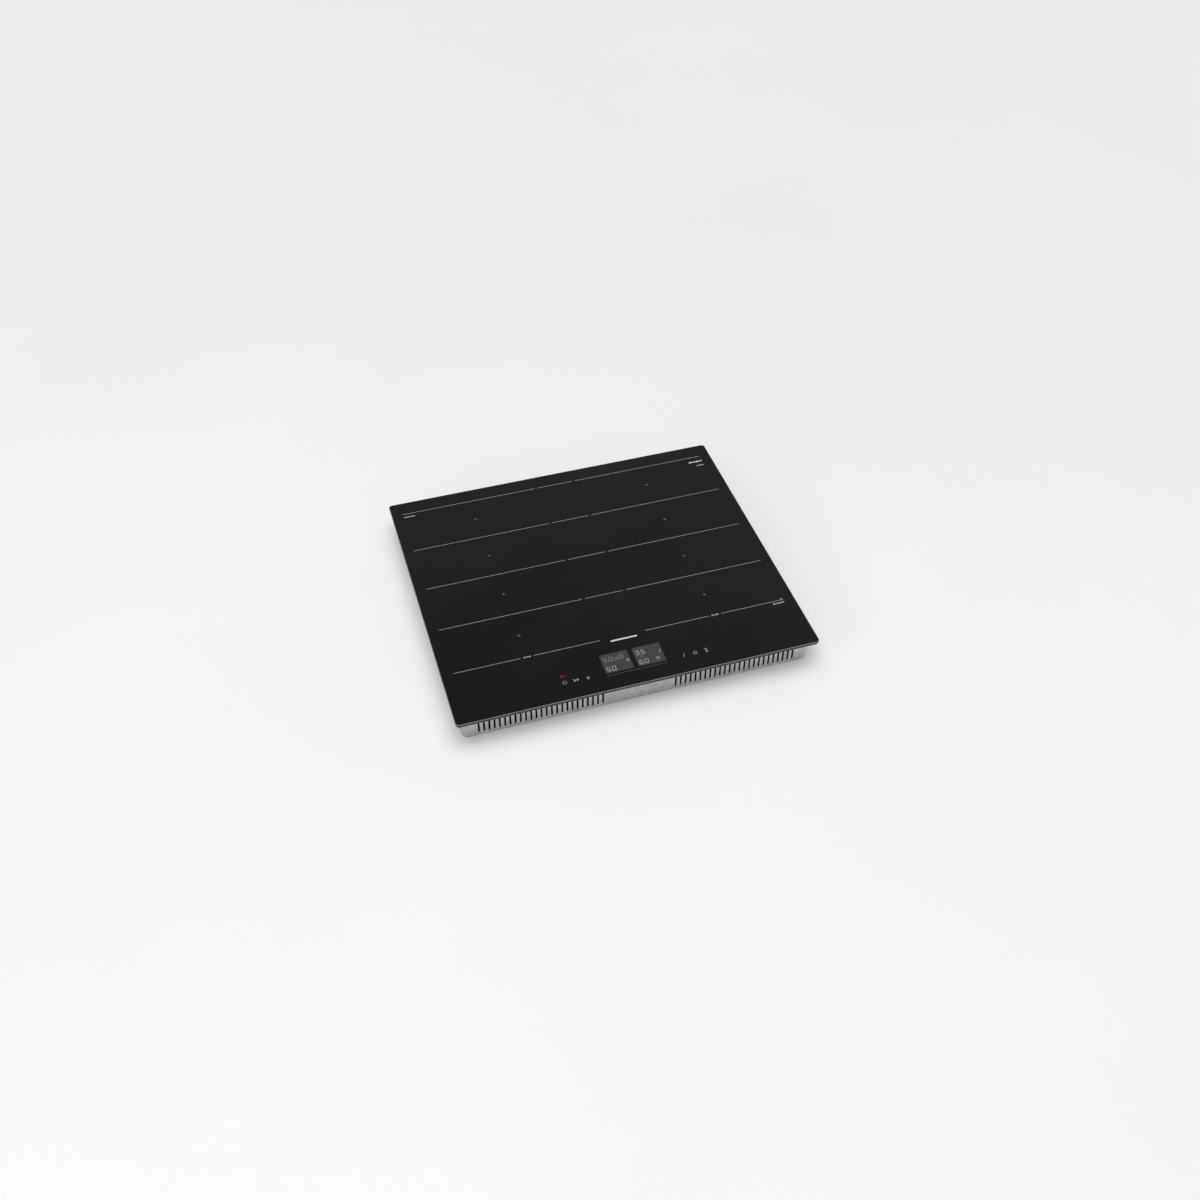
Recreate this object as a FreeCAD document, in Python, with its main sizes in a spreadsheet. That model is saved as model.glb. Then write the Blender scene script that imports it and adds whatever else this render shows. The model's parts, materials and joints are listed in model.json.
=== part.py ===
"""Built-in electric induction cooktop, 60 cm class, frameless, for flush mounting in a worktop.

A glass-ceramic plate is glued to a folded steel frame that hangs over a sheet-steel tray. In the tray, left
and right of a middle corridor, sit two alike modules. Each has a power board with a finned heatsink, a radial
blower that draws air through the floor, and an aluminium plate with four oval induction coils. The plate floats
on four springs that press it against the glass. The corridor holds the mains filter and the terminal box.

Frame: millimetres, +Z up, -Y is the user's side. The origin is the middle of the tray's underside.
"""

import FreeCAD, Part

import math
import os
import re

import Sketcher

from FreeCAD import Placement, Rotation, Vector

# ------------------------ driving dimensions, in millimetres and degrees

SIZES = {
    # how far a cut reaches past its piece, and how far an added feature starts inside its piece
    "cut_extra": 1.0,
    "root_overlap": 0.2,
    # glass plate and what hangs under its rim
    "glass_width": 572.0,
    "glass_depth": 512.0,
    "glass_thick": 4.0,
    "glass_corner": 6.0,
    "glass_grind": 0.8,
    "glass_under": 47.0,
    "seal_thick": 2.0,
    "seal_inset": 1.0,
    "seal_across": 8.0,
    "ring_corner": 5.0,
    "bead_thick": 1.2,
    "bead_inset": 10.5,
    "bead_end_inset": 10.0,
    "bead_across": 5.0,
    "frame_width": 552.0,
    "frame_depth": 482.0,
    "frame_sheet": 1.0,
    "frame_flange": 6.5,
    "frame_leg": 13.8,
    "frame_corner": 9.0,
    "screw_height": 38.4,
    "screw_row": 170.0,
    "screw_column": 180.0,
    "screw_head": 3.2,
    "screw_head_tall": 1.6,
    "screw_long": 6.0,
    "screw_shank": 1.5,
    "screw_play": 0.1,
    # tray
    "tray_width": 549.0,
    "tray_depth": 479.0,
    "tray_height": 44.8,
    "tray_sheet": 1.0,
    "tray_corner": 8.0,
    "tray_bend": 3.0,
    "vent_across": 3.0,
    "vent_tall": 20.0,
    "vent_height": 17.0,
    "vent_pitch": 8.0,
    "vent_first": 58.0,
    "vent_count": 25.0,
    "side_vent_pitch": 12.0,
    "side_vent_count": 11.0,
    "grille_centre": 4.0,
    "grille_inner": 12.0,
    "grille_outer": 33.0,
    "grille_slot": 2.6,
    "grille_count": 18.0,
    "rib_long": 170.0,
    "rib_wide": 10.0,
    "rib_deep": 1.4,
    "rib_row": -200.0,
    "dome_radius": 4.0,
    "dome_tall": 5.0,
    "dome_side_inset": 5.0,
    "dome_end_inset": 6.0,
    "doorway_deep": 10.0,
    # cooking zones
    "zone_offset": 152.0,
    "zone_first": -106.7,
    "zone_pitch": 95.2,
    "zone_count": 4.0,
    # board carriers with their spring pillars
    "carrier_width": 232.0,
    "carrier_depth": 382.0,
    "carrier_middle": 41.0,
    "carrier_under": 1.0,
    "carrier_thick": 2.0,
    "carrier_tall": 9.0,
    "carrier_wall": 1.6,
    "carrier_corner": 6.0,
    "carrier_eye": 35.0,
    "carrier_rail": 30.0,
    "stud_radius": 3.0,
    "stud_inset": 7.0,
    "pillar_radius": 6.0,
    "pillar_top": 25.0,
    "pillar_across": 104.0,
    "pillar_front": -138.0,
    "pillar_back": 212.0,
    "guide_radius": 2.2,
    "guide_top": 39.0,
    "guide_play": 0.4,
    # power boards
    "board_width": 190.0,
    "board_depth": 226.0,
    "board_middle": -11.0,
    "board_under": 9.0,
    "board_thick": 1.6,
    "board_corner": 2.0,
    "creepage_long": 16.0,
    "creepage_wide": 1.6,
    "creepage_first": -72.0,
    "creepage_inset": 18.0,
    "creepage_pitch": 24.0,
    "creepage_count": 7.0,
    "sink_width": 60.0,
    "sink_depth": 200.0,
    "sink_middle": -5.0,
    "sink_base": 4.0,
    "fin_tall": 15.0,
    "fin_thick": 1.6,
    "fin_count": 12.0,
    "switch_thick": 4.4,
    "switch_wide": 16.0,
    "switch_tall": 17.0,
    "switch_off": 3.2,
    "switch_inset": 14.0,
    "switch_pitch": 24.0,
    "switch_count": 8.0,
    "can_width": 26.0,
    "can_depth": 31.0,
    "can_tall": 18.0,
    "can_inset": 24.0,
    "can_row": -96.0,
    "can_pitch": 47.0,
    "can_count": 4.0,
    "drum_radius": 5.0,
    "drum_tall": 14.0,
    "drum_inset": 46.0,
    "drum_row": -78.0,
    # blowers
    "blower_across": 19.0,
    "blower_middle": 172.0,
    "blower_radius": 52.0,
    "blower_wall": 1.6,
    "blower_under": 3.0,
    "blower_tall": 26.5,
    "outlet_width": 66.0,
    "outlet_reach": 68.0,
    "duct_overlap": 5.0,
    "boss_tall": 0.8,
    "inlet_radius": 33.0,
    "wheel_outer": 46.0,
    "wheel_inner": 34.0,
    "wheel_under": 5.6,
    "wheel_top": 27.0,
    "wheel_plate": 1.4,
    "wheel_ring_tall": 1.4,
    "wheel_ring_wide": 4.0,
    "blade_count": 32.0,
    "blade_long": 13.0,
    "blade_thick": 1.0,
    "blade_lean": 28.0,
    "rotor_radius": 14.5,
    "rotor_wall": 0.9,
    "rotor_under": 7.0,
    "stator_radius": 12.9,
    "stator_flange": 3.0,
    "core_radius": 10.9,
    "core_lift": 4.0,
    "tooth_long": 12.6,
    "tooth_wide": 5.0,
    "tooth_tall": 8.0,
    "tooth_lift": 6.0,
    "tooth_count": 6.0,
    "shaft_radius": 1.5,
    "shaft_play": 0.08,
    "shaft_long": 17.0,
    # floating inductor plates
    "plate_width": 230.0,
    "plate_depth": 377.0,
    "plate_middle": 36.1,
    "plate_under": 34.5,
    "plate_thick": 1.5,
    "plate_lip": 4.0,
    "plate_corner": 6.0,
    "lip_inset": 20.0,
    "lead_eye": 7.0,
    "lead_eye_row": 8.0,
    "lead_long": 22.0,
    "lead_wide": 6.0,
    "lead_across": 86.0,
    "ferrite_long": 80.0,
    "ferrite_wide": 9.0,
    "ferrite_thick": 3.5,
    "ferrite_pitch": 30.0,
    "ferrite_count": 6.0,
    "former_thick": 1.5,
    "former_wall": 1.0,
    "coil_straight": 130.0,
    "coil_inner": 12.0,
    "coil_turns": 10.0,
    "litz_radius": 1.65,
    "litz_pitch": 3.2,
    "coil_play": 0.6,
    "hub_play": 0.2,
    "mat_thick": 1.3,
    "mat_gap": 0.1,
    "mat_side_inset": 2.0,
    "mat_end_inset": 1.0,
    "mat_corner": 5.0,
    "sensor_radius": 4.0,
    "sensor_stem": 3.0,
    "sensor_cap": 2.0,
    "sensor_off": 4.0,
    "sensor_foot_wide": 12.0,
    "sensor_foot_deep": 7.0,
    "sensor_foot_tall": 2.0,
    "spring_radius": 4.0,
    "spring_wire": 0.5,
    "spring_turns": 4.0,
    "spring_seat": 0.525,
    # control unit behind the front edge
    "control_width": 280.0,
    "control_depth": 74.0,
    "control_row": -197.0,
    "control_under": 35.0,
    "control_tall": 9.5,
    "control_wall": 1.5,
    "control_corner": 4.0,
    "control_leg": 4.5,
    "control_stud": 2.5,
    "control_inset": 8.0,
    "notch_wide": 24.0,
    "notch_deep": 6.0,
    "notch_tall": 5.0,
    "control_board_under": 38.0,
    "control_board_side": 5.0,
    "control_board_end": 4.0,
    "key_row": -221.5,
    "key_first": 76.0,
    "key_pitch": 18.2,
    "key_radius": 4.6,
    "key_stem": 3.2,
    "key_foot_tall": 1.2,
    "key_head_tall": 1.6,
    "lamp_row": -207.6,
    "lamp_width": 10.0,
    "lamp_depth": 4.0,
    "display_across": 25.8,
    "display_row": -203.7,
    "display_width": 44.0,
    "display_depth": 38.6,
    "display_corner": 1.5,
    "window_wide": 15.0,
    "window_tall": 11.0,
    "window_deep": 1.2,
    "window_inset": 4.0,
    "window_upper": 3.0,
    "window_lower": -17.0,
    "window_pitch": 20.0,
    # mains filter and terminal box in the middle
    "filter_width": 62.0,
    "filter_depth": 281.0,
    "filter_row": 22.5,
    "choke_radius": 16.0,
    "choke_tall": 15.0,
    "choke_eye": 6.0,
    "choke_first": -108.0,
    "choke_second": -62.0,
    "film_wide": 32.0,
    "film_deep": 13.0,
    "film_tall": 21.0,
    "film_row": -28.0,
    "film_pitch": 22.0,
    "film_count": 4.0,
    "relay_wide": 19.0,
    "relay_deep": 24.0,
    "relay_tall": 16.0,
    "relay_left": -24.0,
    "relay_row": 68.0,
    "relay_pitch": 29.0,
    "varistor_wide": 18.0,
    "varistor_deep": 6.0,
    "varistor_tall": 17.0,
    "varistor_row": 112.0,
    "box_half": 34.0,
    "box_under": 3.2,
    "box_tall": 28.0,
    "box_front": 180.0,
    "box_back": 241.5,
    "box_wall": 2.0,
    "box_face": 4.0,
    "box_flange": 3.0,
    "flange_low": 1.2,
    "flange_high": 0.6,
    "box_play": 0.2,
    "cable_radius": 6.5,
    "cable_across": 21.75,
    "cable_height": 13.5,
    "cable_deep": 12.0,
    "clamp_row": 222.0,
    "clamp_under": 20.6,
    "clamp_post": 8.55,
    "post_radius": 1.6,
    "clamp_hole": 1.1,
    "clamp_hole_deep": 8.0,
    "clamp_screw_head": 1.65,
    "clamp_screw_tall": 1.3,
    "clamp_screw_shank": 0.9,
    "clamp_screw_long": 9.0,
    "bar_end": 1.55,
    "bar_deep": 9.0,
    "bar_tall": 3.0,
    "bar_play": 0.05,
    "ridge_long": 9.0,
    "ridge_wide": 0.8,
    "ridge_tall": 0.9,
    "ridge_drop": 0.6,
    "ridge_pitch": 3.0,
    "block_front": 196.0,
    "block_back": 214.0,
    "block_top": 24.0,
    "pole_count": 5.0,
    "pole_pitch": 7.5,
    "pole_width": 7.3,
    "pole_first": -25.0,
    "pole_radius": 2.0,
    "pole_deep": 12.0,
    "pole_height": 11.0,
    "pole_screw_height": 18.6,
    "pole_screw_head": 2.3,
    "pole_screw_shank": 1.45,
    "well_radius": 2.6,
    "well_deep": 4.0,
    "thread_radius": 1.6,
    "thread_deep": 11.0,
    # cover of the terminal box, hinged along its lower edge
    "cover_left": -32.0,
    "cover_right": 12.0,
    "cover_top": 28.8,
    "cover_axis_height": 6.5,
    "cover_axis_row": 240.5,
    "cover_thick": 1.8,
    "cover_play": 0.25,
    "cover_pin": 0.6,
    "cover_pin_long": 1.6,
    "pin_play": 0.1,
    "seat_play": 0.4,
    "door_inset": 2.5,
    "door_low": 1.5,
    "door_high": 1.8,
    "tab_wide": 9.0,
    "tab_deep": 1.2,
    "tab_tall": 1.6,
    "tab_drop": 3.0,
    "cover_rib_long": 30.0,
    "cover_rib_deep": 0.5,
    "cover_rib_tall": 0.8,
    "cover_rib_low": 5.0,
    "cover_rib_pitch": 3.5,
    # spring clips on the tray's sides
    "clip_row": 120.0,
    "clip_width": 22.0,
    "clip_sheet": 0.7,
    "clip_play": 0.1,
    "clip_pin_radius": 1.0,
    "clip_pin_across": 277.7,
    "clip_pin_height": 28.0,
    "clip_pin_end": 1.8,
    "bracket_sheet": 1.0,
    "bracket_wing": 6.0,
    "bracket_tall": 13.0,
    "bracket_under": 18.0,
    "bracket_bore_play": 0.05,
    "ear_reach": 5.0,
    "ear_sheet": 1.2,
    "ear_tall": 5.0,
}

# The outer line of a spring clip's leaf below its knuckle, as offsets outwards and up from the pin's axis.
CLIP_BULGE = [(4.9, -9.5), (5.1, -14.0), (4.2, -17.0), (2.6, -20.0)]

doc = FreeCAD.newDocument("InductionCooktop")
sheet = doc.addObject("Spreadsheet::Sheet", "Sizes")
for row, (alias, value) in enumerate(SIZES.items(), start=1):
    sheet.set(f"A{row}", alias)
    sheet.set(f"B{row}", str(value))
    sheet.setAlias(f"B{row}", alias)
doc.recompute()

SIDES = {"left": -1, "right": 1}
subparts = {}

# ------------------------ helpers


def size(alias):
    """A driving dimension as a number, read from the sheet."""
    return float(sheet.get(alias))


def formula(text):
    """An expression in FreeCAD's own words: each sheet alias gets the sheet's name before it."""
    return re.sub(r"[a-z]+_[a-z_]+", lambda word: "Sizes." + word.group(), str(text))


def bind(thing, **formulas):
    """Bind properties to expressions on the sheet. Two underscores in a name stand for a dot."""
    for name, text in formulas.items():
        thing.setExpression(name.replace("__", "."), formula(text))
    return thing


def keep(label, thing):
    """Name a finished sub-part, which is what gets written to parts/LABEL.step."""
    thing.Label = label
    subparts[label] = thing
    return thing


def new_body(label, x="0", y="0"):
    """An empty body whose own frame stands at x, y on the tray's underside plane."""
    body = doc.addObject("PartDesign::Body", label)
    bind(body, Placement__Base__x=x, Placement__Base__y=y)
    return keep(label, body)


def origin_feature(body, role):
    return next(f for f in body.Origin.OriginFeatures if f.Role == role)


def attach(feature, body, at, plane="XY_Plane"):
    feature.AttachmentSupport = [(origin_feature(body, plane), "")]
    feature.MapMode = "FlatFace"
    x, y, z = at
    bind(feature, AttachmentOffset__Base__x=x, AttachmentOffset__Base__y=y, AttachmentOffset__Base__z=z)
    return feature


def block(body, name, extent, low, cut=False):
    """A box added to or cut from a body, from its lowest corner."""
    kind = "PartDesign::SubtractiveBox" if cut else "PartDesign::AdditiveBox"
    box = attach(body.newObject(kind, name), body, low)
    return bind(box, Length=extent[0], Width=extent[1], Height=extent[2])


def middle_block(body, name, extent, middle, low_z, cut=False):
    """A box that is centred on a point in plan."""
    low = (f"{middle[0]} - ({extent[0]}) / 2", f"{middle[1]} - ({extent[1]}) / 2", low_z)
    return block(body, name, extent, low, cut)


def rod(body, name, radius, height, low, cut=False, plane="XY_Plane"):
    """A cylinder added to or cut from a body, from the centre of its base."""
    kind = "PartDesign::SubtractiveCylinder" if cut else "PartDesign::AdditiveCylinder"
    cylinder = attach(body.newObject(kind, name), body, low, plane)
    return bind(cylinder, Radius=radius, Height=height)


def rectangle_sketch(body, name, width, depth, at, plane="XY_Plane"):
    """A rectangle centred on its sketch's origin."""
    sketch = attach(body.newObject("Sketcher::SketchObject", name), body, at, plane)
    corners = [Vector(-5, -3), Vector(5, -3), Vector(5, 3), Vector(-5, 3)]
    sketch.addGeometry([Part.LineSegment(corners[i], corners[(i + 1) % 4]) for i in range(4)])
    rule = Sketcher.Constraint
    sketch.addConstraint([rule("Coincident", i, 2, (i + 1) % 4, 1) for i in range(4)])
    sketch.addConstraint([rule("Horizontal", 0), rule("Horizontal", 2)])
    sketch.addConstraint([rule("Vertical", 1), rule("Vertical", 3)])
    sketch.addConstraint(rule("Symmetric", 0, 1, 1, 2, -1, 1))
    for kind, edge, text in (("DistanceX", 0, width), ("DistanceY", 1, depth)):
        index = sketch.addConstraint(rule(kind, edge, 1, edge, 2, 5.0))
        sketch.setExpression(f"Constraints[{index}]", formula(text))
    return sketch


def circle_sketch(body, name, radius, at, plane="XY_Plane"):
    """A circle about its sketch's origin."""
    sketch = attach(body.newObject("Sketcher::SketchObject", name), body, at, plane)
    sketch.addGeometry(Part.Circle(Vector(0, 0, 0), Vector(0, 0, 1), 2))
    sketch.addConstraint(Sketcher.Constraint("Coincident", 0, 3, -1, 1))
    index = sketch.addConstraint(Sketcher.Constraint("Radius", 0, 2.0))
    sketch.setExpression(f"Constraints[{index}]", formula(radius))
    return sketch


def slot_sketch(body, name, length, width, at, plane="XY_Plane", upright=False):
    """A round-ended slot centred on its sketch's origin; length is from end to end."""
    sketch = attach(body.newObject("Sketcher::SketchObject", name), body, at, plane)
    turn = math.pi / 2 if upright else 0.0
    spin = Rotation(Vector(0, 0, 1), math.degrees(turn))
    ends = [spin.multVec(Vector(5, 0, 0)), spin.multVec(Vector(-5, 0, 0))]
    sides = [spin.multVec(Vector(x, y, 0)) for x, y in ((5, 1), (-5, 1), (-5, -1), (5, -1))]
    quarter = math.pi / 2
    arcs = [
        Part.ArcOfCircle(Part.Circle(ends[0], Vector(0, 0, 1), 1), turn - quarter, turn + quarter),
        Part.ArcOfCircle(Part.Circle(ends[1], Vector(0, 0, 1), 1), turn + quarter, turn + 3 * quarter),
    ]
    lines = [Part.LineSegment(sides[0], sides[1]), Part.LineSegment(sides[2], sides[3])]
    sketch.addGeometry(arcs + lines)
    rule = Sketcher.Constraint
    sketch.addConstraint([rule("Tangent", 0, 2, 2, 1), rule("Tangent", 2, 2, 1, 1)])
    sketch.addConstraint([rule("Tangent", 1, 2, 3, 1), rule("Tangent", 3, 2, 0, 1)])
    sketch.addConstraint([rule("Equal", 0, 1), rule("Symmetric", 0, 3, 1, 3, -1, 1)])
    sketch.addConstraint(rule("PointOnObject", 0, 3, -2 if upright else -1))
    radius = sketch.addConstraint(rule("Radius", 0, 1.0))
    sketch.setExpression(f"Constraints[{radius}]", formula(f"({width}) / 2"))
    along = "DistanceY" if upright else "DistanceX"
    reach = sketch.addConstraint(rule(along, 1, 3, 0, 3, 10.0))
    sketch.setExpression(f"Constraints[{reach}]", formula(f"({length}) - ({width})"))
    return sketch


def pad(body, name, sketch, length):
    feature = body.newObject("PartDesign::Pad", name)
    feature.Profile = sketch
    return bind(feature, Length=length)


def pocket(body, name, sketch, length=None, reversed_way=False, both_ways=False):
    """A pocket of a given depth, or through everything where no length is given."""
    feature = body.newObject("PartDesign::Pocket", name)
    feature.Profile = sketch
    feature.Reversed = reversed_way
    if both_ways:
        feature.SideType = "Symmetric"
    if length is None:
        feature.Type = "ThroughAll"
        return feature
    return bind(feature, Length=length)


def repeat(body, name, features, axis, pitch, count):
    """A linear pattern of features along one of the body's axes."""
    pattern = body.newObject("PartDesign::LinearPattern", name)
    pattern.Originals = features
    pattern.Direction = (origin_feature(body, axis), [""])
    pattern.Mode = "Spacing"
    bind(pattern, Offset=pitch, Occurrences=count)
    body.Tip = pattern
    return pattern


def round_array(body, name, features, axis, count):
    """A polar pattern of features over a full turn."""
    pattern = body.newObject("PartDesign::PolarPattern", name)
    pattern.Originals = features
    pattern.Axis = axis
    pattern.Angle = 360
    bind(pattern, Occurrences=count)
    body.Tip = pattern
    return pattern


def mirror(body, name, features, plane):
    pattern = body.newObject("PartDesign::Mirrored", name)
    pattern.Originals = features
    pattern.MirrorPlane = (origin_feature(body, plane), [""])
    body.Tip = pattern
    return pattern


def edges_where(feature, test):
    """Names of a feature's edges that pass a test."""
    doc.recompute()
    return [f"Edge{i}" for i, edge in enumerate(feature.Shape.Edges, start=1) if test(edge)]


def upright_edge(edge):
    span = edge.BoundBox
    return span.XLength < 1e-6 and span.YLength < 1e-6 and span.ZLength > 0.1


def level_edge_at(height):
    return lambda edge: edge.BoundBox.ZLength < 1e-6 and abs(edge.BoundBox.ZMin - height) < 1e-6


def round_edges(body, name, feature, test, radius, kind="Fillet"):
    """A fillet or chamfer of the edges that pass the test."""
    rounding = body.newObject("PartDesign::" + kind, name)
    rounding.Base = (feature, edges_where(feature, test))
    return bind(rounding, **{"Radius" if kind == "Fillet" else "Size": radius})


def shape_part(label, shape, x=0.0, y=0.0, z=0.0):
    """A sub-part whose shape was made directly, placed after its shape is set."""
    feature = doc.addObject("Part::Feature", label)
    feature.Shape = shape
    feature.Placement = Placement(Vector(x, y, z), Rotation())
    return keep(label, feature)


def copies(label, master_shape, placements, x=0.0):
    """One sub-part of separate like solids."""
    placed = []
    for placement in placements:
        copy = master_shape.copy()
        copy.Placement = placement.multiply(copy.Placement)
        placed.append(copy)
    return shape_part(label, Part.makeCompound(placed), x)


def at(x, y, z, axis=Vector(0, 0, 1), degrees=0.0):
    return Placement(Vector(x, y, z), Rotation(axis, degrees))


def pan_screw(head_radius, head_tall, shank_radius, shank_long):
    """A cross-recess pan-head screw: its head stands on z = 0 and its shank runs down from there."""
    head = Part.makeCylinder(head_radius, head_tall)
    rim = [e for e in head.Edges if abs(e.BoundBox.ZMin - head_tall) < 1e-6 and e.BoundBox.ZLength < 1e-6]
    head = head.makeFillet(head_tall * 0.45, rim)
    arm, deep = head_radius * 0.22, head_tall * 0.55
    for wide, long in ((arm, head_radius * 1.1), (head_radius * 1.1, arm)):
        head = head.cut(Part.makeBox(wide, long, deep, Vector(-wide / 2, -long / 2, head_tall - deep)))
    return head.fuse(Part.makeCylinder(shank_radius, shank_long, Vector(0, 0, -shank_long))).removeSplitter()


# ------------------------ glass, seal, glue and frame


def ring_body(label, width, depth, across, corner, low, tall):
    """A flat frame of constant width with rounded corners."""
    body = new_body(label)
    outline = rectangle_sketch(body, label + "_outline", width, depth, ("0", "0", low))
    slab = pad(body, label + "_slab", outline, tall)
    rounded = round_edges(body, label + "_corners", slab, upright_edge, corner)
    opening = rectangle_sketch(
        body, label + "_opening", f"{width} - 2 * {across}", f"{depth} - 2 * {across}", ("0", "0", low)
    )
    hole = pocket(body, label + "_hole", opening, both_ways=True)
    inside = inner_edge(rounded, size(across))
    round_edges(body, label + "_inner_corners", hole, inside, f"{corner} / 2")
    return body


def inner_edge(slab, across):
    """A test for upright edges that lie on the inner outline of a ring cut from a slab."""
    doc.recompute()
    reach_x = slab.Shape.BoundBox.XMax - across + 0.01
    reach_y = slab.Shape.BoundBox.YMax - across + 0.01

    def test(edge):
        span = edge.BoundBox
        return upright_edge(edge) and abs(span.XMin) < reach_x and abs(span.YMin) < reach_y

    return test


def outer_edge(slab):
    """A test for the upright edges at a slab's four outer corners."""
    doc.recompute()
    far_x, far_y = slab.Shape.BoundBox.XMax - 0.01, slab.Shape.BoundBox.YMax - 0.01

    def test(edge):
        span = edge.BoundBox
        return upright_edge(edge) and abs(span.XMin) > far_x and abs(span.YMin) > far_y

    return test


def make_glass_top():
    body = new_body("glass_top")
    outline = rectangle_sketch(body, "glass_outline", "glass_width", "glass_depth", ("0", "0", "glass_under"))
    plate = pad(body, "glass_plate", outline, "glass_thick")
    corners = round_edges(body, "glass_corners", plate, upright_edge, "glass_corner")
    top = size("glass_under") + size("glass_thick")
    ground = round_edges(body, "glass_ground_edge", corners, level_edge_at(top), "glass_grind", "Chamfer")
    under = level_edge_at(size("glass_under"))
    round_edges(body, "glass_lower_edge", ground, under, "glass_grind / 2", "Chamfer")


def make_support_frame():
    """A folded angle: its flange is glued under the glass and its leg goes down outside the tray."""
    body = new_body("support_frame")
    leg_end = "glass_under - bead_thick - frame_leg"
    outline = rectangle_sketch(body, "frame_outline", "frame_width", "frame_depth", ("0", "0", leg_end))
    slab = pad(body, "frame_slab", outline, "frame_leg")
    inner_width = "frame_width - 2 * frame_sheet"
    inner_depth = "frame_depth - 2 * frame_sheet"
    inside = rectangle_sketch(body, "frame_inside", inner_width, inner_depth, ("0", "0", leg_end))
    hollow = pocket(body, "frame_hollow", inside, "frame_leg - frame_sheet", reversed_way=True)
    inner = inner_edge(slab, size("frame_sheet"))
    folded = round_edges(body, "frame_fold", hollow, inner, "frame_corner - frame_sheet")
    rounded = round_edges(body, "frame_corners", folded, outer_edge(slab), "frame_corner")
    open_width = f"{inner_width} - 2 * frame_flange"
    open_depth = f"{inner_depth} - 2 * frame_flange"
    opening = rectangle_sketch(body, "frame_opening", open_width, open_depth, ("0", "0", leg_end))
    window = pocket(body, "frame_window", opening, both_ways=True)
    lip = inner_edge(rounded, size("frame_sheet") + size("frame_flange"))
    round_edges(body, "frame_lip", window, lip, "frame_flange / 2")
    wall_holes(body)


def wall_holes(body):
    """Screw holes through both side walls, and through the front and back walls."""
    hole = "screw_shank + screw_play"
    reach = "2 * glass_width"
    side_at = ("-screw_row", "screw_height", "-glass_width")
    across = rod(body, "side_hole", hole, reach, side_at, True, "YZ_Plane")
    repeat(body, "side_holes", [across], "Y_Axis", "screw_row", "3")
    end_at = ("-screw_column", "screw_height", "-glass_width")
    along = rod(body, "end_hole", hole, reach, end_at, True, "XZ_Plane")
    repeat(body, "end_holes", [along], "X_Axis", "screw_column", "3")


def make_frame_screws():
    """Self-tapping screws that hold the frame's leg against the tray's walls."""
    screw = pan_screw(size("screw_head"), size("screw_head_tall"), size("screw_shank"), size("screw_long"))
    half_x, half_y, level = size("frame_width") / 2, size("frame_depth") / 2, size("screw_height")
    places = []
    for step in (-1, 0, 1):
        for side in (-1, 1):
            places.append(at(side * half_x, step * size("screw_row"), level, Vector(0, 1, 0), side * 90))
            places.append(at(step * size("screw_column"), side * half_y, level, Vector(1, 0, 0), -side * 90))
    copies("frame_screws", screw, places)


make_glass_top()
ring_body(
    "rim_seal", "(glass_width - 2 * seal_inset)", "(glass_depth - 2 * seal_inset)",
    "seal_across", "ring_corner", "glass_under - seal_thick", "seal_thick",
)
ring_body(
    "glue_bead", "(glass_width - 2 * bead_inset)", "(glass_depth - 2 * bead_inset - 2 * bead_end_inset)",
    "bead_across", "ring_corner", "glass_under - bead_thick", "bead_thick",
)
make_support_frame()
make_frame_screws()

# ------------------------ tray


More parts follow.
